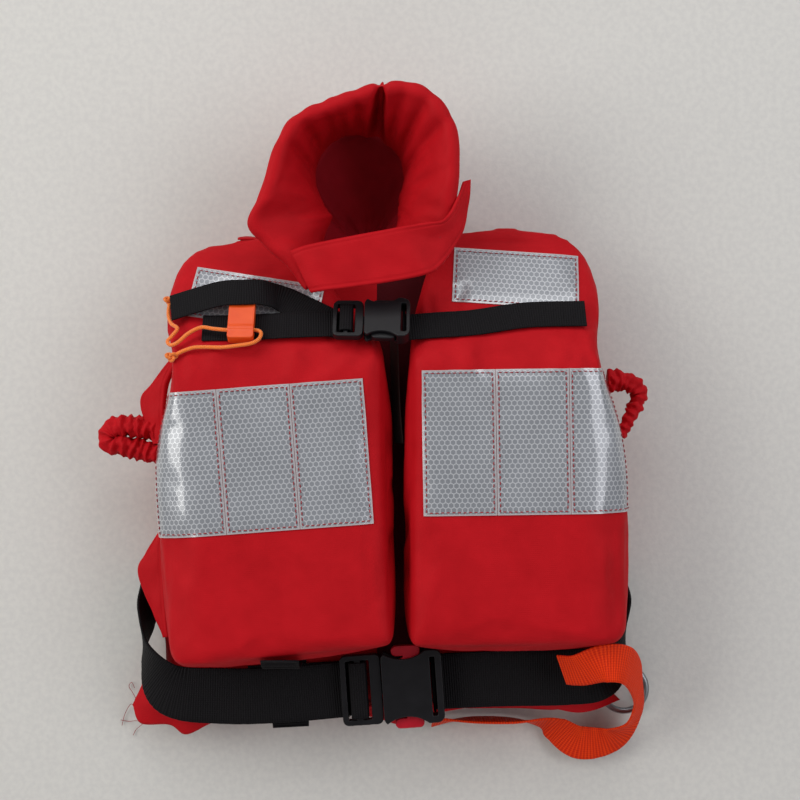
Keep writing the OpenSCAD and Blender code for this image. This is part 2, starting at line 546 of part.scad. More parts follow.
back_lining();
back_cover();
back_foam();
left_front_lining();
left_front_cover();
left_front_foam();
right_front_lining();
right_front_cover();
right_front_foam();
left_shoulder_yoke();
right_shoulder_yoke();
collar_cover();
collar_foam();
neck_band();
hook_patch();
loop_patch();
left_tape_outer();
left_tape_middle();
left_tape_inner();
right_tape_inner();
right_tape_middle();
right_tape_outer();
left_shoulder_tape();
right_shoulder_tape();
waist_belt_rear();
waist_belt_left();
waist_belt_right();
waist_belt_tail();
belt_tab();
waist_socket();
waist_plug();
waist_tab_upper();
waist_tab_lower();
chest_strap_left();
chest_strap_right();
chest_strap_tail();
chest_socket();
chest_plug();
chest_tab_upper();
chest_tab_lower();
lanyard_anchor();
lanyard();
lanyard_knot();
whistle();
left_elastic_sleeve();
left_elastic_core();
right_elastic_sleeve();
right_elastic_core();
lifting_loop();
loop_ring();
inner_label();
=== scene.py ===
import math
import random

import bmesh
import bpy
import numpy as np
from mathutils import Matrix, Vector, noise
from mathutils.bvhtree import BVHTree


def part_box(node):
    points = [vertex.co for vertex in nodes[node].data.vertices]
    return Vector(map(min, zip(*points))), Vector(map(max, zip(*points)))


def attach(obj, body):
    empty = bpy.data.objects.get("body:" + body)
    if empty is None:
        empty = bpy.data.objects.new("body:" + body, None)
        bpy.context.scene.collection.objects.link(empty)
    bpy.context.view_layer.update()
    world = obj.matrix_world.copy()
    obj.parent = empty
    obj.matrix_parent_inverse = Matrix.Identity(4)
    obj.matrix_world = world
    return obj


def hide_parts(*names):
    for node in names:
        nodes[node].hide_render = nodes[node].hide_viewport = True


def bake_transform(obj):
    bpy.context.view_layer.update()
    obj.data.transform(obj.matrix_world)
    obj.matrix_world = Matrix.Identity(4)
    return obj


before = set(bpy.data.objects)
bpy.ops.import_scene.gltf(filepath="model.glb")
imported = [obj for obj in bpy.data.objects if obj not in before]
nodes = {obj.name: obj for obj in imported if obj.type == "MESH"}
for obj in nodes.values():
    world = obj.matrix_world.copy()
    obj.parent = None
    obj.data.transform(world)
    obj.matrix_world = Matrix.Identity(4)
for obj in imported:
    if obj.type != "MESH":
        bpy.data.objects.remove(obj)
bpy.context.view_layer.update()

scene = bpy.context.scene

# ======== Camera, table and daylight ========
# The jacket lies on a pale vinyl table and is looked at from straight above, one metre up.
# Soft windows stand all round it and none overhead, so that its hollows stay dark.
CAMERA_AT = (0.011, 0.021, 1.000)
LENS_MM = 62.8


def linear(code):
    """An sRGB hex colour as linear RGBA."""
    parts = [int(code[i:i + 2], 16) / 255 for i in (1, 3, 5)]
    return [c / 12.92 if c <= 0.04045 else ((c + 0.055) / 1.055) ** 2.4 for c in parts] + [1.0]


def start_material(name, **settings):
    """A material whose shader has these settings, with spaces in their names written as _."""
    made = bpy.data.materials.new(name)
    made.use_nodes = True
    shader = made.node_tree.nodes["Principled BSDF"]
    for key, value in settings.items():
        shader.inputs[key.replace("_", " ")].default_value = value
    return made, shader


def add(material, kind, settings=None, inputs=None):
    """Adds a node with its settings. An input is a number, a colour, or a socket or node to link."""
    tree = material.node_tree
    made = tree.nodes.new("ShaderNode" + kind)
    for key, value in (settings or {}).items():
        setattr(made, key, value)
    for key, value in (inputs or {}).items():
        if isinstance(value, bpy.types.Node):
            value = value.outputs[0]
        if isinstance(value, bpy.types.NodeSocket):
            tree.links.new(value, made.inputs[key])
        else:
            made.inputs[key].default_value = value
    return made


def join(material, shader, **inputs):
    """Links nodes or sockets to the shader's inputs."""
    for key, value in inputs.items():
        socket = value.outputs[0] if isinstance(value, bpy.types.Node) else value
        material.node_tree.links.new(socket, shader.inputs[key.replace("_", " ")])


# Matt vinyl with a fine embossed grain: it scatters the light evenly, and shows faint mottling.
# The grain is 0.4 mm and too fine to show, so it is drawn at 1.6 mm.
vinyl, shader = start_material("embossed vinyl", Roughness=0.72, Specular_IOR_Level=0.3)
place = add(vinyl, "TexCoord").outputs["Object"]
grain = add(vinyl, "TexNoise", None, {"Vector": place, "Scale": 600, "Detail": 3})
mottle = add(vinyl, "TexNoise", None, {"Vector": place, "Scale": 260, "Detail": 2})
tone = add(vinyl, "MapRange", None, {"Value": mottle, 1: 0.35, 2: 0.65})
tint = add(vinyl, "Mix", {"data_type": "RGBA"},
           {0: tone, 6: linear("#cbcac7"), 7: linear("#d1d0cc")})
bump = add(vinyl, "Bump", None, {"Strength": 0.25, "Distance": 0.0004, "Height": grain})
join(vinyl, shader, Base_Color=tint.outputs[2], Normal=bump)


def build(name, points, faces, material, smooth=True):
    """A new object from points and faces."""
    mesh = bpy.data.meshes.new(name)
    mesh.from_pydata([tuple(p) for p in points], [], [tuple(f) for f in faces])
    mesh.validate()
    made = bpy.data.objects.new(name, mesh)
    scene.collection.objects.link(made)
    mesh.materials.append(material)
    if smooth:
        mesh.shade_smooth()
    return made


table = build("table", [(-3, -3, -0.0005), (3, -3, -0.0005), (3, 3, -0.0005), (-3, 3, -0.0005)],
              [(0, 1, 2, 3)], vinyl, smooth=False)

camera = bpy.data.objects.new("camera", bpy.data.cameras.new("camera"))
camera.data.lens = LENS_MM
camera.data.sensor_width = 36
camera.data.clip_start = 0.05
camera.location = CAMERA_AT
scene.collection.objects.link(camera)
scene.camera = camera
scene.view_settings.view_transform = "Standard"

# name, place, size across and up, power in watts, colour
WINDOWS = [
    ("window_left", (-1.7, 0.5, 1.35), (1.8, 1.2), 28, "#fffdf8"),
    ("window_right", (1.3, 0.35, 1.4), (1.5, 1.0), 12, "#fdfcff"),
    ("window_back", (-0.2, 1.7, 1.3), (2.2, 1.0), 17, "#ffffff"),
    ("window_front", (0.0, -1.8, 1.3), (2.2, 0.8), 6, "#fffaf6"),
]
for name, at, size, power, colour in WINDOWS:
    lamp = bpy.data.lights.new(name, "AREA")
    lamp.shape = "RECTANGLE"
    lamp.size, lamp.size_y = size
    lamp.energy = power
    lamp.color = linear(colour)[:3]
    window = bpy.data.objects.new(name, lamp)
    window.location = at
    window.rotation_euler = (Vector((0, 0, 0.04)) - Vector(at)).to_track_quat("-Z", "Y").to_euler()
    scene.collection.objects.link(window)
world = bpy.data.worlds.new("room")
scene.world = world
world.use_nodes = True
world.node_tree.nodes["Background"].inputs[0].default_value = linear("#e9e9ec")
world.node_tree.nodes["Background"].inputs[1].default_value = 0.24

# ======== Whistle and its cord ========
# A flat moulded whistle hangs on a thin braided cord, which starts in a knot under the strap's
# tail and ends in a stopper knot. It lies on the slope of the wearer's right shoulder.
MM = 0.001
PANEL_TOP = 99.6
SLOPE_START = 48
SLOPE_FALL = 0.62
SLOPE_FACE = Vector((0, SLOPE_FALL, 1)).normalized()
SLOPE_ALONG = Vector((0, 1, -SLOPE_FALL)).normalized()
CORD_MM = 2.5


def panel_height(y):
    """Height of a front panel's upper face, in millimetres."""
    return PANEL_TOP - max(0, min(y - SLOPE_START, 80)) * SLOPE_FALL


def on_slope(x, y, above):
    """A point above a front panel's face, in metres."""
    return (Vector((x, y, panel_height(y))) + SLOPE_FACE * above) * MM


WHISTLE_AT = on_slope(-92, 72, 7)


def whistle_point(across, along, off):
    return WHISTLE_AT + Vector((across, 0, 0)) * MM + SLOPE_ALONG * along * MM + SLOPE_FACE * off * MM


CORD_ROUTE = [whistle_point(*p) for p in (
    (-50, 16, -9.4), (-50, 8, -9.4), (-47, -1, -7), (-42, -7, -4), (-45, -12, -5), (-48, -16, -6),
    (-45, -19.5, -5), (-40, -18, -3), (-34, -13, -1), (-26, -9, 0), (-18, -10, 0), (-9, -11, 0),
    (0, -11, 0), (9, -11, 0), (13, -13, 0), (12, -18, 0), (7, -21.5, 0), (-2, -22.5, -1),
    (-12, -22.5, -3), (-22, -22, -3.5), (-30, -22, -4), (-37, -24, -5), (-42, -26, -6.5))]


def smooth_line(points, steps):
    """The smooth open line through its points."""
    p = [Vector(q) for q in points]
    out = []
    for i in range(len(p) - 1):
        a, b, c, d = p[max(i - 1, 0)], p[i], p[i + 1], p[min(i + 2, len(p) - 1)]
        for k in range(steps):
            t = k / steps
            out.append(0.5 * (2 * b + (c - a) * t + (2 * a - 5 * b + 4 * c - d) * t * t
                              + (3 * b - a - 3 * c + d) * t ** 3))
    return out + [p[-1]]


def evenly(line, step):
    """The line's points spaced evenly, about step apart."""
    line = [Vector(p) for p in line]
    gone = [0.0]
    for a, b in zip(line, line[1:]):
        gone.append(gone[-1] + (b - a).length)
    count = max(2, round(gone[-1] / step))
    out, i = [], 0
    for k in range(count + 1):
        want = gone[-1] * k / count
        while i < len(line) - 2 and gone[i + 1] < want:
            i += 1
        span = gone[i + 1] - gone[i]
        out.append(line[i].lerp(line[i + 1], (want - gone[i]) / span if span > 0 else 0))
    return out


def skin(rings, capped=True, closed=True):
    """Points and faces of a surface through a list of rings."""
    size = len(rings[0])
    points = [p for ring in rings for p in ring]
    last = size if closed else size - 1
    faces = [(i * size + j, i * size + (j + 1) % size, (i + 1) * size + (j + 1) % size, (i + 1) * size + j)
             for i in range(len(rings) - 1) for j in range(last)]
    if capped:
        for ring, turn in ((0, 1), (len(rings) - 1, -1)):
            middle = len(points)
            points.append(sum(rings[ring], Vector()) / size)
            faces += [(middle, ring * size + (j + 1) % size, ring * size + j)[::turn]
                      for j in range(size)]
    return points, faces


def flat_map(made, values, name="Flat"):
    """A UV map from one pair of numbers for each point."""
    layer = made.data.uv_layers.new(name=name)
    for loop in made.data.loops:
        layer.data[loop.index].uv = values[loop.vertex_index]


def length_of(line):
    return sum((b - a).length for a, b in zip(line, line[1:]))


def tube_rings(line, radius, sides):
    """Rings of points round a line, which radius(i, turn) gives the size of."""
    rings, side = [], None
    for i, p in enumerate(line):
        ahead = (line[min(i + 1, len(line) - 1)] - line[max(i - 1, 0)]).normalized()
        if side is None:
            side = ahead.orthogonal().normalized()
        side = (side - ahead * side.dot(ahead)).normalized()
        over = ahead.cross(side)
        rings.append([p + (side * math.cos(t) + over * math.sin(t)) * radius(i, t)
                      for t in (2 * math.pi * k / sides for k in range(sides))])
    return rings


# Braided polypropylene: 16 strands cross it, each about 0.5 mm wide, so it has fine diamonds
# and a soft shine. The strands are drawn 1.2 mm long.
braid, shader = start_material("braided polypropylene cord", Roughness=0.42, Sheen_Weight=0.25)
place = add(braid, "UVMap", {"uv_map": "Flat"}).outputs[0]
split = add(braid, "SeparateXYZ", None, {0: place})
strands = []
for sign in (1, -1):
    slant = add(braid, "Math", {"operation": "MULTIPLY_ADD"}, {0: split.outputs[0], 1: sign * 8, 2: 0})
    run = add(braid, "Math", {"operation": "MULTIPLY_ADD"}, {0: split.outputs[1], 1: 2600, 2: slant})
    strands.append(add(braid, "Math", {"operation": "SINE"}, {0: run}))
crossing = add(braid, "Math", {"operation": "MAXIMUM"}, {0: strands[0], 1: strands[1]})
depth = add(braid, "MapRange", None, {"Value": crossing, 1: -0.6, 2: 1.0})
# The grooves between strands are painted darker and the crossings lighter: painted shade.
tint = add(braid, "Mix", {"data_type": "RGBA"}, {0: depth, 6: linear("#c9480e"), 7: linear("#ff8a1f")})
bump = add(braid, "Bump", None, {"Strength": 0.5, "Distance": 0.0003, "Height": depth})
join(braid, shader, Base_Color=tint.outputs[2], Normal=bump)

cord_line = evenly(smooth_line(CORD_ROUTE, 8), 0.0006)
cord = build("whistle_cord", *skin(tube_rings(cord_line, lambda i, t: CORD_MM * MM / 2, 16)), braid)
around = [(2 * math.pi * (k if k <= 8 else 16 - k) / 16, i * 0.0006)
          for i in range(len(cord_line)) for k in range(16)]
flat_map(cord, around + [(0, 0), (0, 0)])
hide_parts("lanyard")
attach(cord, "whistle")


def knot(name, middle, size, node, body):
    """An overhand knot: the cord goes round itself once and comes out below."""
    turns = 60
    line = []
    for k in range(turns + 1):
        t = 2 * math.pi * k / turns
        line.append(middle + Vector(((math.sin(t) + 2 * math.sin(2 * t)) * 0.27,
                                     (math.cos(t) - 2 * math.cos(2 * t)) * 0.2,
                                     -math.sin(3 * t) * 0.27)) * size)
    tied = build(name, *skin(tube_rings(line, lambda i, t: CORD_MM * MM * 0.42, 12)), braid)
    flat_map(tied, [(0.8 * k, i * 0.0004) for i in range(turns + 1) for k in range(12)] + [(0, 0)] * 2)
    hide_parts(node)
    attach(tied, body)
    return tied


end_knot = knot("cord_end_knot", whistle_point(-44.6, -27, -7.2), 0.0045, "lanyard_knot", "whistle")
knot("cord_start_knot", whistle_point(-50, 19.4, -9.5), 0.0045, "lanyard_anchor", "jacket")

# Moulded polypropylene with a fine spark-eroded surface: an even satin with soft highlights.
plastic, shader = start_material("moulded polypropylene", Roughness=0.36, Specular_IOR_Level=0.45)
place = add(plastic, "TexCoord").outputs["Object"]
grain = add(plastic, "TexNoise", None, {"Vector": place, "Scale": 1800, "Detail": 2})
rough = add(plastic, "MapRange", None, {"Value": grain, 3: 0.3, 4: 0.42})
cloudy = add(plastic, "TexNoise", None, {"Vector": place, "Scale": 90, "Detail": 2})
tint = add(plastic, "Mix", {"data_type": "RGBA"}, {0: cloudy, 6: linear("#d9440f"), 7: linear("#ee5a1c")})
bump = add(plastic, "Bump", None, {"Strength": 0.12, "Distance": 0.0002, "Height": grain})
join(plastic, shader, Base_Color=tint.outputs[2], Roughness=rough, Normal=bump)


def softened(name, source, voxel, passes, material):
    """A copy of a CAD piece with its moulded edges rounded over."""
    made = bpy.data.objects.new(name, source.data.copy())
    scene.collection.objects.link(made)
    remesh = made.modifiers.new("remesh", "REMESH")
    remesh.mode = "VOXEL"
    remesh.voxel_size = voxel
    smooth = made.modifiers.new("smooth", "SMOOTH")
    smooth.factor = 0.5
    smooth.iterations = passes
    settle(made)
    made.data.materials.clear()
    made.data.materials.append(material)
    made.data.shade_smooth()
    return made


def settle(made):
    """Applies an object's modifiers to its mesh."""
    bpy.context.view_layer.update()
    graph = bpy.context.evaluated_depsgraph_get()
    mesh = bpy.data.meshes.new_from_object(made.evaluated_get(graph))
    made.modifiers.clear()
    made.data = mesh


whistle = softened("whistle_body", nodes["whistle"], 0.0004, 3, plastic)
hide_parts("whistle")
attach(whistle, "whistle")

# ======== Back panel ========
# Closed-cell foam in a sewn bag of coated polyester: it lies on the table, and the front panels
# lie on it. Its cloth is slack round the foam, so the sides pull in between the corners.


def coated_cloth(name, dark, light, weave_mm, roughness):
    """Plain-weave polyester coated on its inner side, which leaves its threads matt outside.
    Its 0.5 mm threads are too fine to show, so they are drawn weave_mm apart. The colour is painted
    lighter on the threads and darker between them, as painted shade, and broad noise paints soft
    wrinkle shade into it."""
    cloth, shader = start_material(name, Roughness=roughness, Specular_IOR_Level=0.12)
    place = add(cloth, "TexCoord").outputs["Object"]
    turned = add(cloth, "Mapping", None, {"Vector": place, "Rotation": (0.02, 0.03, 0.05)})
    split = add(cloth, "SeparateXYZ", None, {0: turned})
    threads = []
    for axis in range(3):
        run = add(cloth, "Math", {"operation": "MULTIPLY"},
                  {0: split.outputs[axis], 1: 2 * math.pi / (weave_mm * MM)})
        threads.append(add(cloth, "Math", {"operation": "SINE"}, {0: run}))
    over = add(cloth, "Math", {"operation": "MULTIPLY"}, {0: threads[0], 1: threads[1]})
    side = add(cloth, "Math", {"operation": "MULTIPLY"}, {0: threads[1], 1: threads[2]})
    weave = add(cloth, "Math", {"operation": "ADD"}, {0: over, 1: side})
    # Broad noise darkens and lightens the colour in soft patches: painted wrinkle shade
    wrinkle_shade = add(cloth, "TexNoise", None, {"Vector": place, "Scale": 45, "Detail": 5, "Roughness": 0.6})
    # The weave makes the threads lighter and the gaps between them darker: painted shade
    weave_shade = add(cloth, "MapRange", None, {"Value": weave, 1: -1.5, 2: 1.5, 3: -0.16, 4: 0.16})
    tone = add(cloth, "MapRange", None, {"Value": wrinkle_shade, 1: 0.25, 2: 0.75})
    both = add(cloth, "Math", {"operation": "ADD", "use_clamp": True}, {0: tone, 1: weave_shade})
    tint = add(cloth, "Mix", {"data_type": "RGBA"}, {0: both, 6: linear(dark), 7: linear(light)})
    rub = add(cloth, "TexNoise", None, {"Vector": place, "Scale": 420, "Detail": 3})
    relief = add(cloth, "Math", {"operation": "MULTIPLY_ADD"}, {0: weave, 1: 0.35, 2: rub})
    bump = add(cloth, "Bump", None, {"Strength": 0.22, "Distance": 0.0003, "Height": relief})
    join(cloth, shader, Base_Color=tint.outputs[2], Normal=bump)
    return cloth


red_cloth = coated_cloth("coated red polyester", "#a90914", "#bb101b", 1.3, 0.66)
# A lining red darker than the shell, painted as shade down in the neck hole
shade_darkened_lining = coated_cloth("red polyester lining darkened as shade", "#86101c", "#a01624", 1.3, 0.75)
# Near-black red cloth, painted as shade on the back panel in the gap between the front panels
gap_shade_cloth = coated_cloth("near-black red cloth as gap shade", "#3c070d", "#4a0a12", 1.3, 0.8)


def blown(name, source, voxel, cap, material, floor=None, cover=0.0):
    """A padded piece: the foam's shape in cloth, swelled by pressure, and then subdivided.
    cover is the room that the cloth takes outside the foam."""
    made = bpy.data.objects.new(name, source.data.copy())
    scene.collection.objects.link(made)
    remesh = made.modifiers.new("remesh", "REMESH")
    remesh.mode = "VOXEL"
    remesh.voxel_size = voxel
    settle(made)
    start = np.array([v.co + v.normal * cover for v in made.data.vertices])
    made.data.vertices.foreach_set("co", start.ravel())
    cloth = made.modifiers.new("cloth", "CLOTH")
    cloth.settings.quality = 5
    cloth.settings.mass = 0.25
    cloth.settings.tension_stiffness = 18
    cloth.settings.compression_stiffness = 18
    cloth.settings.shear_stiffness = 6
    cloth.settings.bending_stiffness = 0.4
    cloth.settings.use_pressure = True
    cloth.settings.uniform_pressure_force = 4
    cloth.settings.effector_weights.gravity = 0
    cloth.point_cache.frame_start = 1
    cloth.point_cache.frame_end = 20
    for step in range(1, 21):
        scene.frame_set(step)
    graph = bpy.context.evaluated_depsgraph_get()
    swelled = np.array([v.co for v in made.evaluated_get(graph).data.vertices])
    made.modifiers.clear()
    scene.frame_set(1)
    move = swelled - start
    far = np.linalg.norm(move, axis=1, keepdims=True)
    start = start + move * np.minimum(1, cap / np.maximum(far, 1e-9))
    if floor is not None:
        start[:, 2] = np.maximum(start[:, 2], floor)
    made.data.vertices.foreach_set("co", start.ravel())
    subdivide = made.modifiers.new("subdivide", "SUBSURF")
    subdivide.levels = subdivide.render_levels = 1
    settle(made)
    made.data.materials.clear()
    made.data.materials.append(material)
    made.data.shade_smooth()
    return made


def reshape(made, move):
    """Moves each point of a mesh by move(point, normal)."""
    mesh = made.data
    normals = [v.normal.copy() for v in mesh.vertices]
    for v, normal in zip(mesh.vertices, normals):
        v.co = v.co + move(v.co, normal)
    mesh.update()


def crease(p, a, b, width):
    """1 on the line from a to b in the XY plane, falling to 0 at width, in millimetres."""
    ax, ay, bx, by = a[0] * MM, a[1] * MM, b[0] * MM, b[1] * MM
    dx, dy = bx - ax, by - ay
    t = max(0, min(1, ((p.x - ax) * dx + (p.y - ay) * dy) / (dx * dx + dy * dy)))
    off = math.hypot(p.x - ax - dx * t, p.y - ay - dy * t) / (width * MM)
    fade = min(1, 4 * min(t, 1 - t) + 0.15)
    return math.exp(-off * off * 3) * fade


BACK_CREASES = [((-150, -190), (-120, -150), 9, 2.0), ((-158, -60), (-120, -20), 12, 2.2),
                ((-160, -110), (-128, -100), 9, 1.8), ((150, -150), (110, -165), 10, 1.6),
                ((154, -20), (118, 20), 12, 2.0), ((150, 60), (112, 92), 10, 1.6)]


def back_wrinkles(p, normal):
    dip = sum(depth * crease(p, a, b, width) for a, b, width, depth in BACK_CREASES)
    ripple = noise.noise(Vector((p.x * 28, p.y * 28, p.z * 40))) * 1.1
    ripple += noise.noise(Vector((p.x * 90, p.y * 90, p.z * 120))) * 0.35
    side = 1 - abs(normal.z)
    low = min(1, max(0, p.z / 0.004))
    return normal * (ripple * (0.35 + side) - dip) * MM * low


back_panel = blown("back_panel", nodes["back_foam"], 0.005, 0.004, red_cloth, floor=0.0008, cover=0.001)
reshape(back_panel, back_wrinkles)
for v in back_panel.data.vertices:
    v.co.z = min(max(v.co.z, 0.0004), 0.0382)
# The back panel's faces in the narrow gap between the front panels take the near-black cloth: painted shade.
back_panel.data.materials.append(gap_shade_cloth)
for face in back_panel.data.polygons:
    if face.center.z > 0.032 and -0.004 < face.center.x < 0.036 and face.center.y > -0.16:
        face.material_index = 1
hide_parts("back_foam", "back_cover", "back_lining")
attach(back_panel, "jacket")

# ======== Front panels ========
# Two padded panels of the same build, thicker than the back. The strap presses a shallow
# groove over each shoulder.
PANEL_SIDES = {
    "left": {"folds": [((-140, -60), (-143, -130), 7, 1.3), ((-20, 60), (-60, 30), 12, 1.3),
                       ((-128, 30), (-136, 90), 8, 1.8), ((-120, 92), (-60, 112), 10, 1.5),
                       ((-60, -70), (-66, -140), 14, 0.9), ((-12, -60), (-8, -130), 8, 0.9),
                       ((-50, 92), (-30, 60), 8, 2.4), ((-104, -74), (-110, -138), 18, 0.7)]},
    "right": {"folds": [((150, -60), (153, -128), 8, 1.2), ((24, 70), (60, 100), 9, 1.6),
                        ((140, 30), (126, 70), 9, 1.6), ((52, 100), (44, 60), 6, 1.6),
                        ((80, -60), (84, -140), 16, 0.9), ((44, -60), (40, -136), 14, 0.8),
                        ((118, 62), (60, 48), 10, 1.2), ((28, 96), (36, 60), 6, 2.2)]},
}
STRAP_Y = (60, 88)


# Each panel: inner hem corner, turn, width, drop of the outer hem, cut of the neck
PANEL_CUT = {"left": ((12, -142), 4.3, 158, -5, 26, -1), "right": ((20, -144), 0.8, 146, 0, 6, 1)}
INNER_EDGE = {"left": (4, -1, -6), "right": (-4, -4, 0)}
PANEL_LONG, PANEL_BASE = 277, 39.6
EDGE_ROUND, OUTER_ROLL, ROLL_DROP = 8.0, 38.0, 13.0


def rounded(corners, steps):
    """A closed outline with each corner (x, y, r) rounded."""
    out = []
    for i, (x, y, r) in enumerate(corners):
        p = Vector((x, y))
        back = Vector(corners[i - 1][:2]) - p
        on = Vector(corners[(i + 1) % len(corners)][:2]) - p
        a = p + back.normalized() * min(r, back.length * 0.48)
        b = p + on.normalized() * min(r, on.length * 0.48)
        shares = [k / steps for k in range(steps + 1)]
        out += [a * (1 - t) ** 2 + p * 2 * t * (1 - t) + b * t * t for t in shares]
    return out


def cut_panel(side):
    """The foam block of a front panel: square at its inner edge, and rolled off at its outer one."""
    corner, turn, wide, drop, cut, way = PANEL_CUT[side]
    top = PANEL_LONG
    hem_in, middle_in, top_in = INNER_EDGE[side]
    flat = rounded([(hem_in, 0, 5), (wide - 5, drop, 12), (wide, top * 0.48, 40), (wide - 23, top * 0.71, 34),
                    (wide - 14, top * 0.84, 26), (wide - 30, top + 1, 22), (60, top + 8, 20),
                    (cut + 14, top, 12),
                    (cut, top - 40, 20), (top_in, top - 72, 18), (middle_in, top * 0.45, 40)], 6)
    flat = [Vector((*p, 0)) for p in flat]
    flat = evenly(flat + flat[:1], 4.0)[:-1]
    middle = sum(flat, Vector()) / len(flat)
    turned = Matrix.Rotation(math.radians(turn), 3, "Z")
    rings = []
    steps = 14
    for k in range(steps + 1):
        a = -math.pi / 2 + math.pi * k / steps
        reach = EDGE_ROUND * (1 - abs(math.cos(a)) ** 0.8)
        rise = (1 + math.copysign(abs(math.sin(a)) ** 0.8, a)) / 2
        ring = []
        for p in flat:
            q = p + (middle - p).normalized() * reach
            ring.append((q, rise))
        rings.append(ring)
    for share in (0.8, 0.55, 0.3, 0.12):
        rings.append([(middle.lerp(q, share), 1) for q, _ in rings[steps]])
    made = []
    for ring in rings:
        points = []
        for q, rise in ring:
            placed = turned @ Vector((q.x * way, q.y, 0)) + Vector((*corner, 0))
            high = panel_height(placed.y) - PANEL_BASE
            near = max(0, 1 - (wide - q.x) / OUTER_ROLL)
            z = PANEL_BASE + rise * (high - ROLL_DROP * near * near) - 0.8
            points.append(Vector((placed.x, placed.y, z)) * MM)
        made.append(points)
    block = build(f"{side}_block", *skin(made), red_cloth)
    tidy = bmesh.new()
    tidy.from_mesh(block.data)
    bmesh.ops.recalc_face_normals(tidy, faces=tidy.faces)
    tidy.to_mesh(block.data)
    tidy.free()
    return block


def front_wrinkles(folds, seed):
    def move(p, normal):
        dip = sum(depth * crease(p, a, b, width) for a, b, width, depth in folds)
        ripple = noise.noise(Vector((p.x * 20 + seed, p.y * 20, p.z * 30))) * 0.8
        ripple += noise.noise(Vector((p.x * 70, p.y * 70 + seed, p.z * 90))) * 0.22
        side = 1 - abs(normal.z)
        y = p.y / MM
        near = max(0, 1 - abs(y - sum(STRAP_Y) / 2) / 20)
        groove = 2.6 * near * near * (3 - 2 * near) * max(0, normal.z)
        return normal * (ripple * (0.3 + 0.6 * side) - dip * max(0.2, normal.z) - groove) * MM
    return move


panels, panel_trees = {}, {}
for side, seed in (("left", 3.1), ("right", 8.7)):
    block = cut_panel(side)
    panel = blown(f"{side}_front_panel", block, 0.004, 0.0022, red_cloth, floor=0.0386)
    bpy.data.objects.remove(block)
    reshape(panel, front_wrinkles(PANEL_SIDES[side]["folds"], seed))
    for v in panel.data.vertices:
        top = panel_height(v.co.y / MM) * MM
        v.co.z = max(0.0385, min(v.co.z, top + 0.0008))
    panels[side] = panel
    panel_trees[side] = BVHTree.FromPolygons([v.co.copy() for v in panel.data.vertices],
                                             [tuple(f.vertices) for f in panel.data.polygons])
    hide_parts(*[f"{side}_front_{part}" for part in ("foam", "cover", "lining")])
    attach(panel, "jacket")

# ======== Webbing ========
# Woven polyester straps go over the shoulders and round the waist. Each is a flat band whose
# weft shows as fine ribs across it.


def alongside(line, values, count):
    """The values that go with a line's points, at count even distances along it."""
    gone = [0.0]
    for a, b in zip(line, line[1:]):
        gone.append(gone[-1] + (b - a).length)
    out, i = [], 0
    for k in range(count):
        want = gone[-1] * k / (count - 1)
        while i < len(line) - 2 and gone[i + 1] < want:
            i += 1
        span = gone[i + 1] - gone[i]
        out.append(values[i].lerp(values[i + 1], (want - gone[i]) / span if span > 0 else 0))
    return out


def ribbon(name, route, faces, width, thick, material, rib=1.6, rib_high=0.1, sag=0.0, step=0.4, seed=1.0):
    """Flat webbing along a route in metres. faces gives the side that looks outward at each point,
    rib the spacing of the weft and rib_high its height, in millimetres."""
    rough = smooth_line(route, 10)
    turns = smooth_line([Vector(f).normalized() for f in faces], 10)
    line = evenly(rough, step * MM)
    looks = alongside(rough, turns, len(line))
    rings, values = [], []
    count = len(line)
    gone = 0.0
    for i, p in enumerate(line):
        if i:
            gone += (p - line[i - 1]).length
        ahead = (line[min(i + 1, count - 1)] - line[max(i - 1, 0)]).normalized()
        side = looks[i].cross(ahead).normalized()
        over = ahead.cross(side)
        wave = math.sin(2 * math.pi * gone / (rib * MM)) * rib_high / 2
        drift = noise.noise(Vector((gone * 40, seed, 0))) * sag
        edge = noise.noise(Vector((gone * 300, seed, 5))) * 0.12
        ring = []
        for a, b in RIBBON_RING:
            half = width / 2 + (edge if abs(a) > 0.9 else 0)
            bow = drift * (1 - a * a)
            ring.append(p + (side * a * half + over * (b * (thick / 2 + wave * (1 - a ** 8)) + bow)) * MM)
            values.append((a * width / 2 * MM, gone))
        rings.append(ring)
    made = build(name, *skin(rings), material)
    flat_map(made, values + [(0, 0), (0, gone)])
    return made


ACROSS = [-0.97, -0.8, -0.6, -0.4, -0.2, 0, 0.2, 0.4, 0.6, 0.8, 0.97]
RIBBON_RING = ([(a, -1) for a in ACROSS] + [(1, -0.45), (1, 0.45)]
               + [(a, 1) for a in reversed(ACROSS)] + [(-1, 0.45), (-1, -0.45)])


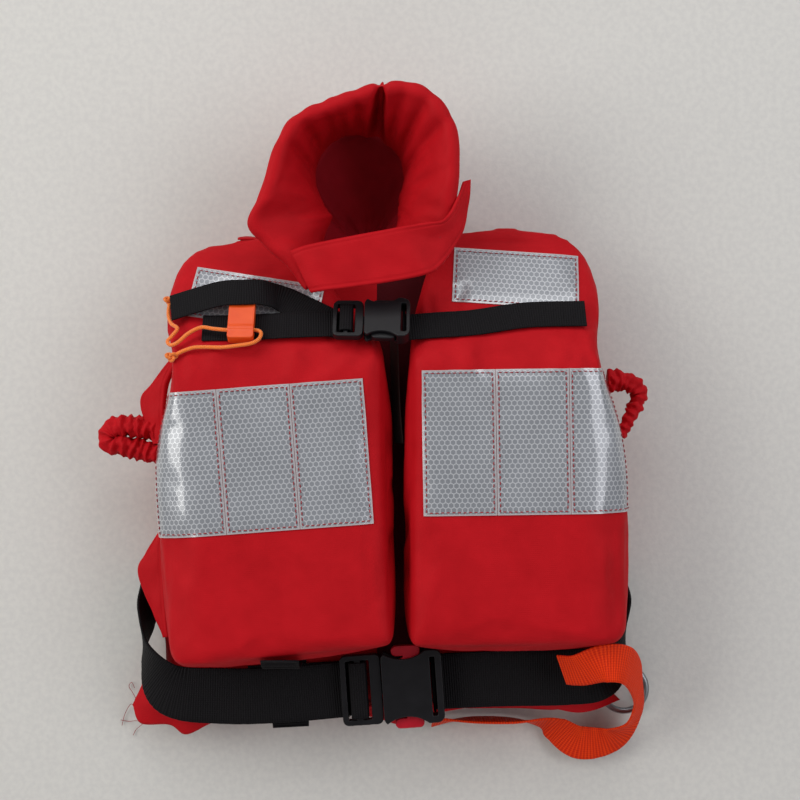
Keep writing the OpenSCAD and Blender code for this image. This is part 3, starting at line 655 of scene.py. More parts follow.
def webbing(name, dark, light, roughness, rib_mm, row_mm):
    """Woven polyester with a ribbed weft: matt threads, with a painted faint shine along each rib.
    The colour is painted lighter on the ribs and darker between them, as painted highlight and shade,
    and fine noise gives the fibres' own tone.
    """
    woven, shader = start_material(name, Roughness=roughness, Specular_IOR_Level=0.12)
    place = add(woven, "UVMap", {"uv_map": "Flat"}).outputs[0]
    split = add(woven, "SeparateXYZ", None, {0: place})
    waves = []
    for axis, gap in ((1, rib_mm), (0, row_mm)):
        run = add(woven, "Math", {"operation": "MULTIPLY"},
                  {0: split.outputs[axis], 1: 2 * math.pi / (gap * MM)})
        waves.append(add(woven, "Math", {"operation": "SINE"}, {0: run}))
    weave = add(woven, "Math", {"operation": "MULTIPLY_ADD"}, {0: waves[1], 1: 0.45, 2: waves[0]})
    fuzz = add(woven, "TexNoise", None, {"Vector": place, "Scale": 900, "Detail": 3})
    thick = add(woven, "Math", {"operation": "MULTIPLY_ADD"}, {0: fuzz, 1: 1.2, 2: weave})
    # Lighter on the ribs and darker between them: painted highlight and shade
    tone = add(woven, "MapRange", None, {"Value": thick, 1: -0.9, 2: 2.0})
    tint = add(woven, "Mix", {"data_type": "RGBA"}, {0: tone, 6: linear(dark), 7: linear(light)})
    bump = add(woven, "Bump", None, {"Strength": 0.5, "Distance": 0.00025, "Height": thick})
    join(woven, shader, Base_Color=tint.outputs[2], Normal=bump)
    return woven


black_webbing = webbing("woven black polyester webbing", "#080709", "#171518", 0.66, 1.6, 1.5)
orange_webbing = webbing("woven orange polyester webbing", "#c21f07", "#f0420f", 0.58, 1.9, 1.6)

# ======== Side-release buckles ========
# Two moulded acetal buckles. Each has a plug with two slots that grip the webbing, a socket,
# and two sprung tabs that show in the socket's curved cut-outs.
WAIST_BUCKLE = {"long": 69, "web": 38, "high": 13, "over": 57}
CHEST_BUCKLE = {"long": 50, "web": 20, "high": 10, "over": 31}


def acetal(name, dark, light, roughness):
    """Injection-moulded acetal from a spark-eroded mould: an even satin with a fine grain."""
    made, shader = start_material(name, Roughness=roughness, IOR=1.48, Specular_IOR_Level=0.3)
    place = add(made, "TexCoord").outputs["Object"]
    grain = add(made, "TexNoise", None, {"Vector": place, "Scale": 2200, "Detail": 2})
    worn = add(made, "TexNoise", None, {"Vector": place, "Scale": 120, "Detail": 4})
    rough = add(made, "MapRange", None, {"Value": worn, 3: roughness - 0.06, 4: roughness + 0.08})
    tint = add(made, "Mix", {"data_type": "RGBA"}, {0: worn, 6: linear(dark), 7: linear(light)})
    bump = add(made, "Bump", None, {"Strength": 0.15, "Distance": 0.00015, "Height": grain})
    join(made, shader, Base_Color=tint.outputs[2], Roughness=rough, Normal=bump)
    return made


black_acetal = acetal("black moulded acetal", "#0e0d10", "#151418", 0.4)
red_acetal = acetal("red moulded acetal", "#970c1b", "#b8142a", 0.4)

WAIST_AT = Matrix.Translation(Vector((5.6, -174, 52.5)) * MM) @ Matrix.Rotation(math.radians(4), 4, "Z")
CHEST_AT = (Matrix.Translation((Vector((-7.5, 72.6, panel_height(72.6) + 10))) * MM)
            @ Matrix.Rotation(-math.atan(SLOPE_FALL), 4, "X") @ Matrix.Rotation(math.radians(-1), 4, "Z"))

for where, size, at in (("waist", WAIST_BUCKLE, WAIST_AT), ("chest", CHEST_BUCKLE, CHEST_AT)):
    tab_material = red_acetal if where == "waist" else black_acetal
    back = at.inverted()
    for part, body, material in (
            ("socket", "jacket", black_acetal), ("plug", f"{where}_plug", black_acetal),
            ("tab_upper", f"{where}_upper_tab", tab_material),
            ("tab_lower", f"{where}_lower_tab", tab_material)):
        piece = softened(f"{where}_buckle_{part}", nodes[f"{where}_{part}"], 0.0004, 4, material)
        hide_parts(f"{where}_{part}")
        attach(piece, body)

# ======== Waist belt ========
# One long webbing goes round the back under the foam. On each side it climbs from the table to
# the front, where it runs into its buckle half. The spare end lies back over the belt.
BELT_MM = (38, 1.8)
UP, DOWN = (0, 0, 1), (0, 0, -1)


def lie(at, points):
    """Points of a buckle's own frame, in millimetres, in the jacket's frame in metres."""
    return [at @ (Vector(p) * MM) for p in points]


def look(at, faces):
    return [at.to_3x3() @ Vector(f) for f in faces]


def plug_turn(size, thick):
    """Where webbing goes over the plug's middle bar, and which way it faces there."""
    long, high = size["long"], size["high"]
    mouth = -long * 0.095
    body = mouth + long / 2 - 0.4
    hang = high * 0.27 + thick / 2 + 0.4
    low = -hang - thick - 1
    first, second = (-long / 2 + body * share for share in (0.25, 0.61))
    points = [(first, 0, 0.6 - hang), (first, 0, hang - 1.5), (first + 1.5, 0, hang), (second - 1.5, 0, hang),
              (second, 0, hang - 1.5), (second, 0, -hang), (second - 2, 0, low), (first - 2, 0, low)]
    faces = [(-1, 0, 0), (-1, 0, 0.3), (-0.5, 0, 1), (0.5, 0, 1), (1, 0, 0.3), (1, 0, 0),
             (0.5, 0, -1), (0, 0, -1)]
    return points, faces, (first - 3, 0, -hang)


def socket_turn(size, thick):
    """Where webbing comes down through the socket's slot and out under its end bar."""
    long, high = size["long"], size["high"]
    x = long / 2 - long * 0.17 * 0.68 + 1.7
    low = -high / 2 - thick / 2 - 1
    points = [(x, 0, 0), (x, 0, low + 1.5), (x + 2.2, 0, low), (long / 2 + 1, 0, low)]
    return points, [(1, 0, 0), (1, 0, 0.2), (0.3, 0, 1), (0, 0, 1)]


def mm(*points):
    return [Vector(p) * MM for p in points]


turn_points, turn_faces, under = plug_turn(WAIST_BUCKLE, BELT_MM[1])
belt_rear = ribbon("belt_back_run", mm((152, -116, 2.5), (0, -116, 2.5), (-152, -116, 2.5)),
                   [DOWN, DOWN, DOWN], *BELT_MM, black_webbing)
belt_left = ribbon(
    "belt_left_run",
    mm((-152.2, -116, 2.5), (-156, -116, 2.5), (-162, -116, 5.5), (-166, -121, 14), (-167, -134, 26),
       (-164, -156, 38), (-146, -177, 47), (-110, -181, 47.5), (-70, -180, 48.5)) + lie(WAIST_AT, [under]),
    [DOWN, DOWN, (-0.3, 0, -1), (-1, 0, -0.3), (-1, -0.3, 0.1), (-0.8, -0.5, 0.6),
     (-0.2, -0.2, 1), UP, UP, UP],
    *BELT_MM, black_webbing, sag=0.5, seed=2.0)
socket_points, socket_faces = socket_turn(WAIST_BUCKLE, BELT_MM[1])
belt_right = ribbon(
    "belt_right_run",
    lie(WAIST_AT, socket_points) + mm((80, -169, 48), (125, -168, 48), (148, -165, 46), (164, -150, 38),
                                      (167, -132, 26), (166, -121, 14), (162, -116, 5.5), (156, -116, 2.5),
                                      (152.2, -116, 2.5)),
    look(WAIST_AT, socket_faces) + [UP, UP, (0.2, -0.1, 1), (0.8, -0.4, 0.6), (1, -0.3, 0.1), (1, 0, -0.3),
                                    (0.3, 0, -1), DOWN, DOWN],
    *BELT_MM, black_webbing, sag=0.4, seed=3.0)
belt_tail = ribbon(
    "belt_tail_end", lie(WAIST_AT, turn_points + [(-45, 0, -7.4), (-98, 1, -7.8)]),
    look(WAIST_AT, turn_faces + [DOWN, DOWN]), *BELT_MM, black_webbing, seed=4.0)
keeper = ribbon(
    "belt_keeper_tab",
    mm((-67, -148, 96.6), (-67, -154, 86.6), (-67, -156, 69.6), (-67, -153, 57.6), (-67, -149.5, 47.6),
       (-66, -152, 41.5), (-66, -166, 39.5), (-64, -204, 39.5)),
    [(0, -0.5, 1), (0, -1, 0.5), (0, -1, 0), (0, -1, -0.3), (0, -1, 0.2), (0, -0.6, 1), UP, UP],
    25, 1.2, black_webbing, rib=2.4, rib_high=0.5, seed=5.0)
for piece, node, body in ((belt_rear, "waist_belt_rear", "jacket"), (belt_right, "waist_belt_right", "jacket"),
                          (belt_tail, "waist_belt_tail", "waist_plug"), (keeper, "belt_tab", "jacket")):
    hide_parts(node)
    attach(piece, body)
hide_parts("waist_belt_left")
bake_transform(belt_left)

# ======== Chest strap ========
# Narrow webbing lies across both shoulders. Its spare end comes out of the plug, goes over the
# whistle and folds down at the outer edge.
STRAP_MM = (20, 1.5)
turn_points, turn_faces, under = plug_turn(CHEST_BUCKLE, STRAP_MM[1])
strap_left = ribbon(
    "strap_left_run", [on_slope(-118, 67, 1.6), on_slope(-90, 67.5, 1.6), on_slope(-60, 67.5, 4.5)]
    + lie(CHEST_AT, [under]), [SLOPE_FACE] * 4, *STRAP_MM, black_webbing, rib=1.3, sag=0.5, seed=6.0)
socket_points, socket_faces = socket_turn(CHEST_BUCKLE, STRAP_MM[1])
strap_right = ribbon(
    "strap_right_run", lie(CHEST_AT, socket_points)
    + [on_slope(34, 69, 1.8), on_slope(60, 71, 1.6), on_slope(94, 76, 1.6), on_slope(133, 77, 1.6)],
    look(CHEST_AT, socket_faces) + [SLOPE_FACE] * 4, *STRAP_MM, black_webbing, rib=1.3, sag=0.5, seed=7.0)
strap_tail = ribbon(
    "strap_tail_end", lie(CHEST_AT, turn_points)
    + [on_slope(-40, 74, 1.8), on_slope(-54, 81, 1.7), on_slope(-67, 86, 3.5), on_slope(-79, 86, 10.5),
       on_slope(-92, 85, 12.4), on_slope(-106, 85, 11), on_slope(-124, 83, 6), on_slope(-140, 81, 1)],
    look(CHEST_AT, turn_faces) + [-SLOPE_FACE] * 8, *STRAP_MM, black_webbing, rib=1.3, sag=0.6, seed=8.0)
for piece, node in ((strap_left, "chest_strap_left"), (strap_tail, "chest_strap_tail")):
    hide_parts(node)
    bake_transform(piece)
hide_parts("chest_strap_right")
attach(strap_right, "jacket")

# ======== Reflective tape ========
# Strips of retroreflective film are sewn side by side across each front panel, and one piece on
# each shoulder. Red thread goes round each strip, 2 mm inside its edge.
TAPE_MM = {"across": 47.5, "along": 94, "thick": 0.6}
CELL_MM = 3.6
TAPE_HANG = 24

# Honeycomb-backed vinyl film with a clear glossy face: grey cells in pale sealed walls, and a
# hard bright streak wherever the strip bends over an edge.
film, shader = start_material("honeycomb reflective film", Roughness=0.34, Metallic=0.2,
                              Coat_Weight=1.0, Coat_Roughness=0.09, Coat_IOR=1.5)
place = add(film, "UVMap", {"uv_map": "Flat"}).outputs[0]
cells = add(film, "VectorMath", {"operation": "MULTIPLY_ADD"},
            {0: place, 1: (1000 / CELL_MM, 1000 / CELL_MM, 0), 2: (100, 100 * math.sqrt(3), 0)})
lattice = (1, math.sqrt(3), 1)
distances = []
for shift in ((0, 0, 0), (0.5, math.sqrt(3) / 2, 0)):
    moved = add(film, "VectorMath", {"operation": "ADD"}, {0: cells, 1: shift})
    wrapped = add(film, "VectorMath", {"operation": "MODULO"}, {0: moved, 1: lattice})
    centred = add(film, "VectorMath", {"operation": "SUBTRACT"}, {0: wrapped, 1: (0.5, math.sqrt(3) / 2, 0)})
    folded = add(film, "VectorMath", {"operation": "ABSOLUTE"}, {0: centred})
    slant = add(film, "VectorMath", {"operation": "DOT_PRODUCT"}, {0: folded, 1: (0.5, math.sqrt(3) / 2, 0)})
    straight = add(film, "SeparateXYZ", None, {0: folded})
    distances.append(add(film, "Math", {"operation": "MAXIMUM"},
                         {0: slant.outputs["Value"], 1: straight.outputs[0]}))
to_wall = add(film, "Math", {"operation": "MINIMUM"}, {0: distances[0], 1: distances[1]})
wall = add(film, "MapRange", {"interpolation_type": "SMOOTHSTEP"}, {"Value": to_wall, 1: 0.36, 2: 0.47})
border_at = add(film, "UVMap", {"uv_map": "Edge"}).outputs[0]
border_split = add(film, "SeparateXYZ", None, {0: border_at})
border = add(film, "MapRange", {"interpolation_type": "SMOOTHSTEP"},
             {"Value": border_split.outputs[0], 1: 0.0012, 2: 0.0006})
haze_at = add(film, "TexCoord").outputs["Object"]
haze = add(film, "TexNoise", None, {"Vector": haze_at, "Scale": 38, "Detail": 4})
cell_tone = add(film, "Mix", {"data_type": "RGBA"}, {0: haze, 6: linear("#7e8187"), 7: linear("#969aa1")})
wall_tone = add(film, "Mix", {"data_type": "RGBA"}, {0: haze, 6: linear("#b3b6bb"), 7: linear("#c8cbd0")})
tint = add(film, "Mix", {"data_type": "RGBA"}, {0: wall, 6: cell_tone.outputs[2], 7: wall_tone.outputs[2]})
edged = add(film, "Mix", {"data_type": "RGBA"}, {0: border, 6: tint.outputs[2], 7: linear("#b9b4b7")})
emboss = add(film, "Bump", None, {"Strength": 0.22, "Distance": 0.00012, "Height": wall})
join(film, shader, Base_Color=edged.outputs[2], Normal=emboss)

# Spun polyester thread with a slight shine
thread, shader = start_material("spun red polyester thread", Roughness=0.55, Sheen_Weight=0.2)
place = add(thread, "TexCoord").outputs["Object"]
twist = add(thread, "TexNoise", None, {"Vector": place, "Scale": 1500, "Detail": 2})
tint = add(thread, "Mix", {"data_type": "RGBA"}, {0: twist, 6: linear("#7d0a14"), 7: linear("#a51f2a")})
join(thread, shader, Base_Color=tint.outputs[2])


def drop_on(tree, x, y):
    """Where a vertical line meets a panel, and the panel's normal there."""
    hit, normal, _, _ = tree.ray_cast(Vector((x, y, 0.2)), Vector((0, 0, -1)))
    if hit is None:
        hit, normal, _, _ = tree.find_nearest(Vector((x, y, 0.085)))
    return hit, normal if normal.z > 0 else -normal


def tape_strip(name, tree, corner, turn, along, width, height, node):
    """A strip that follows the panel inside a turned window. All sizes are in millimetres."""
    turned = Matrix.Rotation(math.radians(turn), 2)
    columns, rows = round(width / 1.25), round(height / 1.25)
    low, high, flat, edge = [], [], [], []

    def lies_on(u, v):
        x, y = (Vector(corner) + turned @ Vector((along + u, -v))) * MM
        hit, _, _, _ = tree.ray_cast(Vector((x, y, 0.2)), Vector((0, 0, -1)))
        return hit is not None and hit.z > (panel_height(y / MM) - TAPE_HANG) * MM

    # Each row stops where the panel falls away, and neighbouring rows are evened out
    starts, ends = [], []
    for j in range(rows + 1):
        on = [u for u in np.linspace(0, width, 96) if lies_on(u, height * j / rows)]
        starts.append(on[0] if on else 0)
        ends.append(on[-1] if on else width)
    for limits in (starts, ends):
        for _ in range(12):
            limits[:] = [(limits[max(j - 1, 0)] + limits[j] + limits[min(j + 1, rows)]) / 3
                         for j in range(rows + 1)]
    for j in range(rows + 1):
        v = height * j / rows
        gone = 0.0
        before = None
        for i in range(columns + 1):
            u = starts[j] + (ends[j] - starts[j]) * i / columns
            x, y = (Vector(corner) + turned @ Vector((along + u, -v))) * MM
            hit, normal = drop_on(tree, x, y)
            if before is not None:
                gone += (hit - before).length
            before = hit
            low.append(hit + normal * 0.0002)
            high.append(hit + normal * (0.0002 + TAPE_MM["thick"] * MM))
            flat.append((gone + along * MM, v * MM))
            edge.append((min(u - starts[j], ends[j] - u, v, height - v) * MM, 0))
    for layer in (low, high):
        for _ in range(3):
            relaxed = [p.copy() for p in layer]
            for j in range(1, rows):
                for i in range(1, columns):
                    k = j * (columns + 1) + i
                    relaxed[k] = (layer[k] * 2 + layer[k - 1] + layer[k + 1] + layer[k - columns - 1]
                                  + layer[k + columns + 1]) / 6
            layer[:] = relaxed
    size = len(low)
    wide = columns + 1
    faces = []
    for j in range(rows):
        for i in range(columns):
            a = j * wide + i
            faces.append((a, a + 1, a + wide + 1, a + wide))
            faces.append((size + a, size + a + wide, size + a + wide + 1, size + a + 1))
    rim = ([i for i in range(columns)] + [columns + j * wide for j in range(rows)]
           + [rows * wide + i for i in range(columns, 0, -1)] + [j * wide for j in range(rows, 0, -1)])
    for a, b in zip(rim, rim[1:] + rim[:1]):
        faces.append((b, a, size + a, size + b))
    strip = build(name, low + high, faces, film)
    flat_map(strip, flat + flat)
    flat_map(strip, edge + edge, "Edge")
    strip.data.set_sharp_from_angle(angle=math.radians(50))
    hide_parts(node)
    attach(strip, "jacket")
    return BVHTree.FromPolygons(low + high, faces)


def stitches(name, tree, line, stitch=2.6, gap=0.9, thick=0.42, wander=0.12, material=thread, body="jacket"):
    """A row of sewn stitches along points of the XY plane, in metres, pulled down onto a surface."""
    points, faces = [], []
    run = evenly([Vector((p[0], p[1], 0)) for p in line], 0.0002)
    spacing = round((stitch + gap) / 0.2)
    long = round(stitch / 0.2)
    for start in range(0, len(run) - long, spacing):
        rings = []
        shift = Vector((random.uniform(-wander, wander), random.uniform(-wander, wander), 0)) * MM
        for k in range(0, long + 1, 2):
            share = k / long
            hit, normal = drop_on(tree, *(run[start + k] + shift).xy)
            swell = math.sin(math.pi * share) ** 0.5 if 0 < share < 1 else 0.25
            last, following = start + k - 1 if start + k else 0, min(start + k + 1, len(run) - 1)
            ahead = (run[following] - run[last]).normalized()
            side = normal.cross(ahead).normalized()
            lift = hit + normal * thick * MM * (swell - 0.35)
            rings.append([lift + (side * math.cos(t) + normal * math.sin(t)) * thick * MM * max(0.35, swell)
                          for t in (math.pi * m / 3 for m in range(6))])
        p, f = skin(rings)
        faces += [tuple(i + len(points) for i in face) for face in f]
        points += p
    made = build(name, points, faces, material)
    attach(made, body)
    return made


random.seed(41)
LEFT_TAPE, LEFT_TURN = (-13, 35), 4.3
RIGHT_TAPE, RIGHT_TURN = (25, 40), 0.8


def window_line(corner, turn, points):
    turned = Matrix.Rotation(math.radians(turn), 2)
    return [(Vector(corner) + turned @ Vector(p)) * MM for p in points]


for side, corner, turn, way, names in (("left", LEFT_TAPE, LEFT_TURN, -1, ("inner", "middle", "outer")),
                                       ("right", RIGHT_TAPE, RIGHT_TURN, 1, ("inner", "middle", "outer"))):
    wide, tall = TAPE_MM["across"], TAPE_MM["along"]
    for k, part in enumerate(names):
        along = k * wide if way > 0 else -(k + 1) * wide
        tree = tape_strip(f"{side}_tape_{part}_strip", panel_trees[side], corner, turn, along + 0.15,
                          wide - 0.3, tall, f"{side}_tape_{part}")
        a, b = along + 2, along + wide - 2
        stitches(f"{side}_tape_{part}_stitching", tree,
                 window_line(corner, turn, [(a, -2), (b, -2), (b, 2 - tall), (a, 2 - tall), (a, -2)]))
for side, corner, turn, wide, tall in (("left", (-125, 110), -9, 87, 34), ("right", (48, 124), -4, 84, 38)):
    tree = tape_strip(f"{side}_shoulder_strip", panel_trees[side], corner, turn, 0, wide - 0.3, tall,
                      f"{side}_shoulder_tape")
    stitches(f"{side}_shoulder_stitching", tree,
             window_line(corner, turn, [(2, -2), (wide - 2, -2), (wide - 2, 2 - tall), (2, 2 - tall), (2, -2)]))

# ======== Collar ========
# A padded collar stands round the neck and flares outward. It is sewn to the neckline, and its
# cloth is gathered behind the neck, so pleats run from the neck to a scalloped rim.
COLLAR_MIDDLE = Vector((-15, 152, 0))
# angle in degrees, rim's reach from the middle, rim's height, neck's reach, neck's height
COLLAR_STATIONS = [(-34, 68, 86, 29, 44), (-20, 65, 94, 27, 40), (0, 64, 100, 26, 34), (20, 70, 104, 28, 30),
                   (40, 80, 106, 38, 27), (60, 84, 106, 48, 24), (80, 77, 106, 52, 22), (95, 71, 105, 55, 22),
                   (112, 69, 104, 54, 23), (130, 70, 104, 48, 25), (150, 66, 104, 38, 29), (168, 64, 104, 29, 34),
                   (182, 68, 103, 25, 38), (193, 76, 99, 22, 42), (204, 71, 96, 24, 45), (222, 66, 95, 36, 48),
                   (240, 70, 92, 50, 52)]
# angle in degrees, depth in millimetres, half width in degrees
PLEATS = [(18, 1, 5), (41, 2.2, 3.4), (55, 3, 3.2), (67, 2.4, 3), (92, 3, 3.2), (103, 1.5, 3),
          (112, 3.4, 3.6), (126, 4.6, 4.6), (143, 2.4, 4.6)]
NOTCH = {"angle": 79, "deep": 17, "top": 2.3, "foot": 4.6}
WALL_HALF = 7.5
NECK_Z = 64


def collar_numbers(angle):
    """The collar's four sizes at an angle, smoothed between its stations."""
    s = COLLAR_STATIONS
    i = max(0, min(len(s) - 2, next((k for k in range(len(s) - 1) if s[k + 1][0] >= angle), len(s) - 2)))
    t = (angle - s[i][0]) / (s[i + 1][0] - s[i][0])
    before, after = s[max(i - 1, 0)], s[min(i + 2, len(s) - 1)]
    out = []
    for n in range(1, 5):
        a, b, c, d = before[n], s[i][n], s[i + 1][n], after[n]
        out.append(0.5 * (2 * b + (c - a) * t + (2 * a - 5 * b + 4 * c - d) * t * t
                          + (3 * b - a - 3 * c + d) * t ** 3))
    return out


def pleat_depth(angle):
    return sum(depth * math.exp(-((angle - at) / half) ** 2) for at, depth, half in PLEATS)


def collar_ring(angle):
    reach, rim_z, neck, neck_z = collar_numbers(angle)
    a = math.radians(angle)
    out = Vector((math.cos(a), math.sin(a), 0))
    ends = min(1, (angle + 34) / 10, (240 - angle) / 10)
    half = WALL_HALF * (0.45 + 0.55 * max(0, ends))
    fold = pleat_depth(angle)
    gathered = max(0.08, min(1, (angle - 26) / 14, (152 - angle) / 12))
    puff = 0.9 * gathered * math.cos(math.radians(angle * 360 / 12.4))
    notch_rim = NOTCH["deep"] * math.exp(-((angle - NOTCH["angle"]) / NOTCH["top"]) ** 2)
    rim = (COLLAR_MIDDLE + out * (reach - half - 0.22 * min(fold + notch_rim, 7))
           + Vector((0, 0, rim_z - half - 0.12 * (fold + notch_rim))))
    foot = COLLAR_MIDDLE + out * (neck + half - 3) + Vector((0, 0, neck_z))
    bend = COLLAR_MIDDLE + out * (neck + half + 1) + Vector((0, 0, NECK_Z + 8))
    ring = []
    steps = 30

    def wall(t):
        """The middle of the wall at t from foot to rim, the way up it, and the way out of it."""
        at = foot * (1 - t) ** 2 + bend * 2 * t * (1 - t) + rim * t * t
        up = ((bend - foot) * (1 - t) + (rim - bend) * t).normalized()
        return at, up, (out - up * out.dot(up)).normalized()

    for k in range(steps + 1):
        t = k / steps
        at, up, outward = wall(t)
        thick = half * (0.8 + 0.2 * math.sin(math.pi * t))
        gather = min(1, t / 0.4) * (1 - 0.3 * max(0, t - 0.85) / 0.15)
        crinkle = noise.noise(Vector((angle * 0.11, t * 5, 1.7))) * 0.9
        wide = NOTCH["top"] + (NOTCH["foot"] - NOTCH["top"]) * (1 - t)
        notch = NOTCH["deep"] * math.exp(-((angle - NOTCH["angle"]) / wide) ** 2) * min(1, t / 0.12)
        ring.append(at + outward * (fold * gather + notch - thick - puff * gather * 0.5 + crinkle))
    _, along, outward = wall(1)
    for k in range(1, 12):
        t = math.pi * k / 12
        pinch = (fold + notch_rim) * 0.7 * ((1 + math.cos(t)) / 2) ** 2
        ring.append(rim + outward * (pinch - math.cos(t) * half * 0.8)
                    + along * (math.sin(t) * half * 0.95 - 0.12 * (fold + notch_rim) * math.sin(t)))
    for k in range(steps + 1):
        t = 1 - k / steps
        at, up, outward = wall(t)
        thick = half * (0.8 + 0.3 * math.sin(math.pi * t))
        crinkle = noise.noise(Vector((angle * 0.1, t * 4, 9.2))) * 1.0
        ring.append(at + outward * (thick - 0.25 * min(fold, 6) * t + crinkle))
    return [p * MM for p in ring]


collar_angles = np.linspace(-34, 240, 275)
collar = build("collar_pad", *skin([collar_ring(a) for a in collar_angles]), red_cloth)
smooth = collar.modifiers.new("smooth", "SMOOTH")
smooth.factor = 0.5
smooth.iterations = 2
subdivide = collar.modifiers.new("subdivide", "SUBSURF")
subdivide.levels = subdivide.render_levels = 1
settle(collar)
collar.data.shade_smooth()
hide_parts("collar_cover", "collar_foam")
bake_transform(collar)

# The lining closes the neck from the collar's foot to the back panel, like a shallow bowl. Its red is darker than the
# shell's, as painted shade in the neck hole.
bowl_rings = []
for share in np.linspace(0, 1, 10):
    ring = []
    for angle in np.linspace(-34, 240, 90):
        reach, rim_z, neck, neck_z = collar_numbers(angle)
        a = math.radians(angle)
        edge = COLLAR_MIDDLE + Vector((math.cos(a), math.sin(a), 0)) * (neck + 4)
        edge.z = neck_z - 3
        p = edge.lerp(Vector((-13, 128, 24)), share)
        p.z -= math.sin(math.pi * share) * 9 - noise.noise(Vector((angle * 0.06, share * 3, 0))) * 2.5
        p.z = max(p.z, 4)
        ring.append(p * MM)
    bowl_rings.append(ring)
neck_lining = build("neck_lining", *skin(bowl_rings, capped=False, closed=False), shade_darkened_lining)
thicken = neck_lining.modifiers.new("thicken", "SOLIDIFY")
thicken.thickness = 0.0012
settle(neck_lining)
neck_lining.data.shade_smooth()
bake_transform(neck_lining)

# ======== Neck band ========
# A folded and sewn strip of the shell cloth crosses the front of the neck. It is sewn to the
# left of the collar, turns round its right side and holds there with hook and loop.
BAND_INNER = [(-59, 117, 103), (-50, 120, 106.5), (-30, 124, 108.5), (8, 131, 109.5), (28, 134.5, 109), (37, 136, 106),
              (43, 142, 101.5), (48, 152, 97), (52, 163, 92.5)]
BAND_OUTER = [(-46, 90, 101), (-38, 91, 105), (-20, 93, 107), (5, 96.5, 108), (27, 101, 108), (36, 106, 103),
              (45, 118, 96), (54, 137, 89), (57, 165, 89)]


def band_rings(inner, outer, stations, across, thick, seam):
    """A flat piece between two edges, with a row of stitching pressed in near each edge."""
    a = evenly(smooth_line(mm(*inner), 12), length_of(smooth_line(mm(*inner), 12)) / stations)
    b = evenly(smooth_line(mm(*outer), 12), length_of(smooth_line(mm(*outer), 12)) / stations)
    rings = []
    for i in range(stations + 1):
        ahead = (a[min(i + 1, stations)] - a[max(i - 1, 0)]) + (b[min(i + 1, stations)] - b[max(i - 1, 0)])
        cross = b[i] - a[i]
        wide = cross.length
        over = cross.cross(ahead).normalized()
        if over.z < 0:
            over = -over
        top, under = [], []
        for k in range(across + 1):
            t = k / across
            near = min(t, 1 - t) * wide / MM
            swell = thick / 2 * (1 - math.exp(-near * 2.5)) + 0.25 * (1 - math.exp(-near / 3))
            swell -= 0.4 * math.exp(-((near - seam) / 0.6) ** 2)
            ripple = noise.noise(Vector((i * 0.07, t * 2.5, 3.3))) * 0.9
            p = a[i] + cross * t
            top.append(p + over * (swell + ripple) * MM)
            under.append(p + over * (ripple - swell - 0.15) * MM)
        rings.append(top + under[::-1])
    return rings


band = build("neck_band_strip", *skin(band_rings(BAND_INNER, BAND_OUTER, 150, 44, 2.0, 3.0)), red_cloth)
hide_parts("neck_band")
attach(band, "neck_band")

# Hook-and-loop tape: woven nylon with a dense pile of hooks or loops 0.3 mm apart
pile, shader = start_material("hook and loop tape", Roughness=0.85, Sheen_Weight=0.4, Sheen_Roughness=0.5)
place = add(pile, "TexCoord").outputs["Object"]
hooks = add(pile, "TexVoronoi", None, {"Vector": place, "Scale": 1400})
# Each hook is painted lighter at its middle and darker towards its neighbours: painted shade in the pile.
tint = add(pile, "Mix", {"data_type": "RGBA"},
           {0: hooks.outputs[0], 6: linear("#232225"), 7: linear("#0c0b0d")})
bump = add(pile, "Bump", None, {"Strength": 0.6, "Distance": 0.0004, "Height": hooks.outputs[0]})
join(pile, shader, Base_Color=tint.outputs[2], Normal=bump)
for node, body, below in (("hook_patch", "neck_band", 2.2), ("loop_patch", "collar", 3.9)):
    edges = []
    for share in (0.2, 0.78):
        edges.append([Vector(a).lerp(Vector(b), share) + Vector((-0.5, 0, -below))
                      for a, b in list(zip(BAND_INNER, BAND_OUTER))[5:8]])
    patch = build(f"{node}_pile", *skin(band_rings(*edges, 40, 16, 1.2, 3.0)), pile)
    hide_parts(node)
    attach(patch, body)

# ======== Shoulder cloth and hem ========
# A short strip of shell cloth joins the back to each front over the shoulder. It is 1.2 mm thick
# with its seam allowance, and bows out 2.2 mm between its two seams.
YOKE_THICK, YOKE_BOW = 1.2, 2.2
for side in ("left", "right"):
    low, high = (Vector(c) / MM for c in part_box(f"{side}_shoulder_yoke"))
    rings = []
    for i in range(61):
        t = i / 60
        x = low.x + (high.x - low.x) * t
        slump = noise.noise(Vector((x * 0.09, 0, 0))) * 1.2
        ring = []
        for back, levels in ((low.y, range(25)), (low.y + YOKE_THICK, range(24, -1, -1))):
            for k in levels:
                s = k / 24
                z = low.z + (high.z - low.z) * s
                bow = math.sin(math.pi * s)
                ring.append(Vector((x, back + bow * YOKE_BOW + slump * bow, z)) * MM)
        rings.append(ring)
    yoke = build(f"{side}_shoulder_cloth", *skin(rings), red_cloth)
    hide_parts(f"{side}_shoulder_yoke")
    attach(yoke, "jacket")

# At the left the slack cloth of the bag's side stands out in two soft folds, 4.2 mm thick.
SIDE_FOLDS = {
    "upper": ([(-138, 48, 56), (-146, 32, 55), (-148, 12, 54), (-146, -8, 53)],
              [(-143, 50, 52), (-158, 32, 49), (-166, 19, 47), (-157, -9, 49)]),
    "lower": ([(-146, -62, 56), (-149, -82, 52), (-148, -110, 50), (-146, -140, 50)],
              [(-149, -66, 48), (-163, -84, 43), (-168, -100, 42), (-150, -141, 45)]),
}
for name, (inner, outer) in SIDE_FOLDS.items():
    fold = build(f"side_fold_{name}", *skin(band_rings(inner, outer, 90, 26, 4.2, 3.0)), red_cloth)
    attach(fold, "jacket")

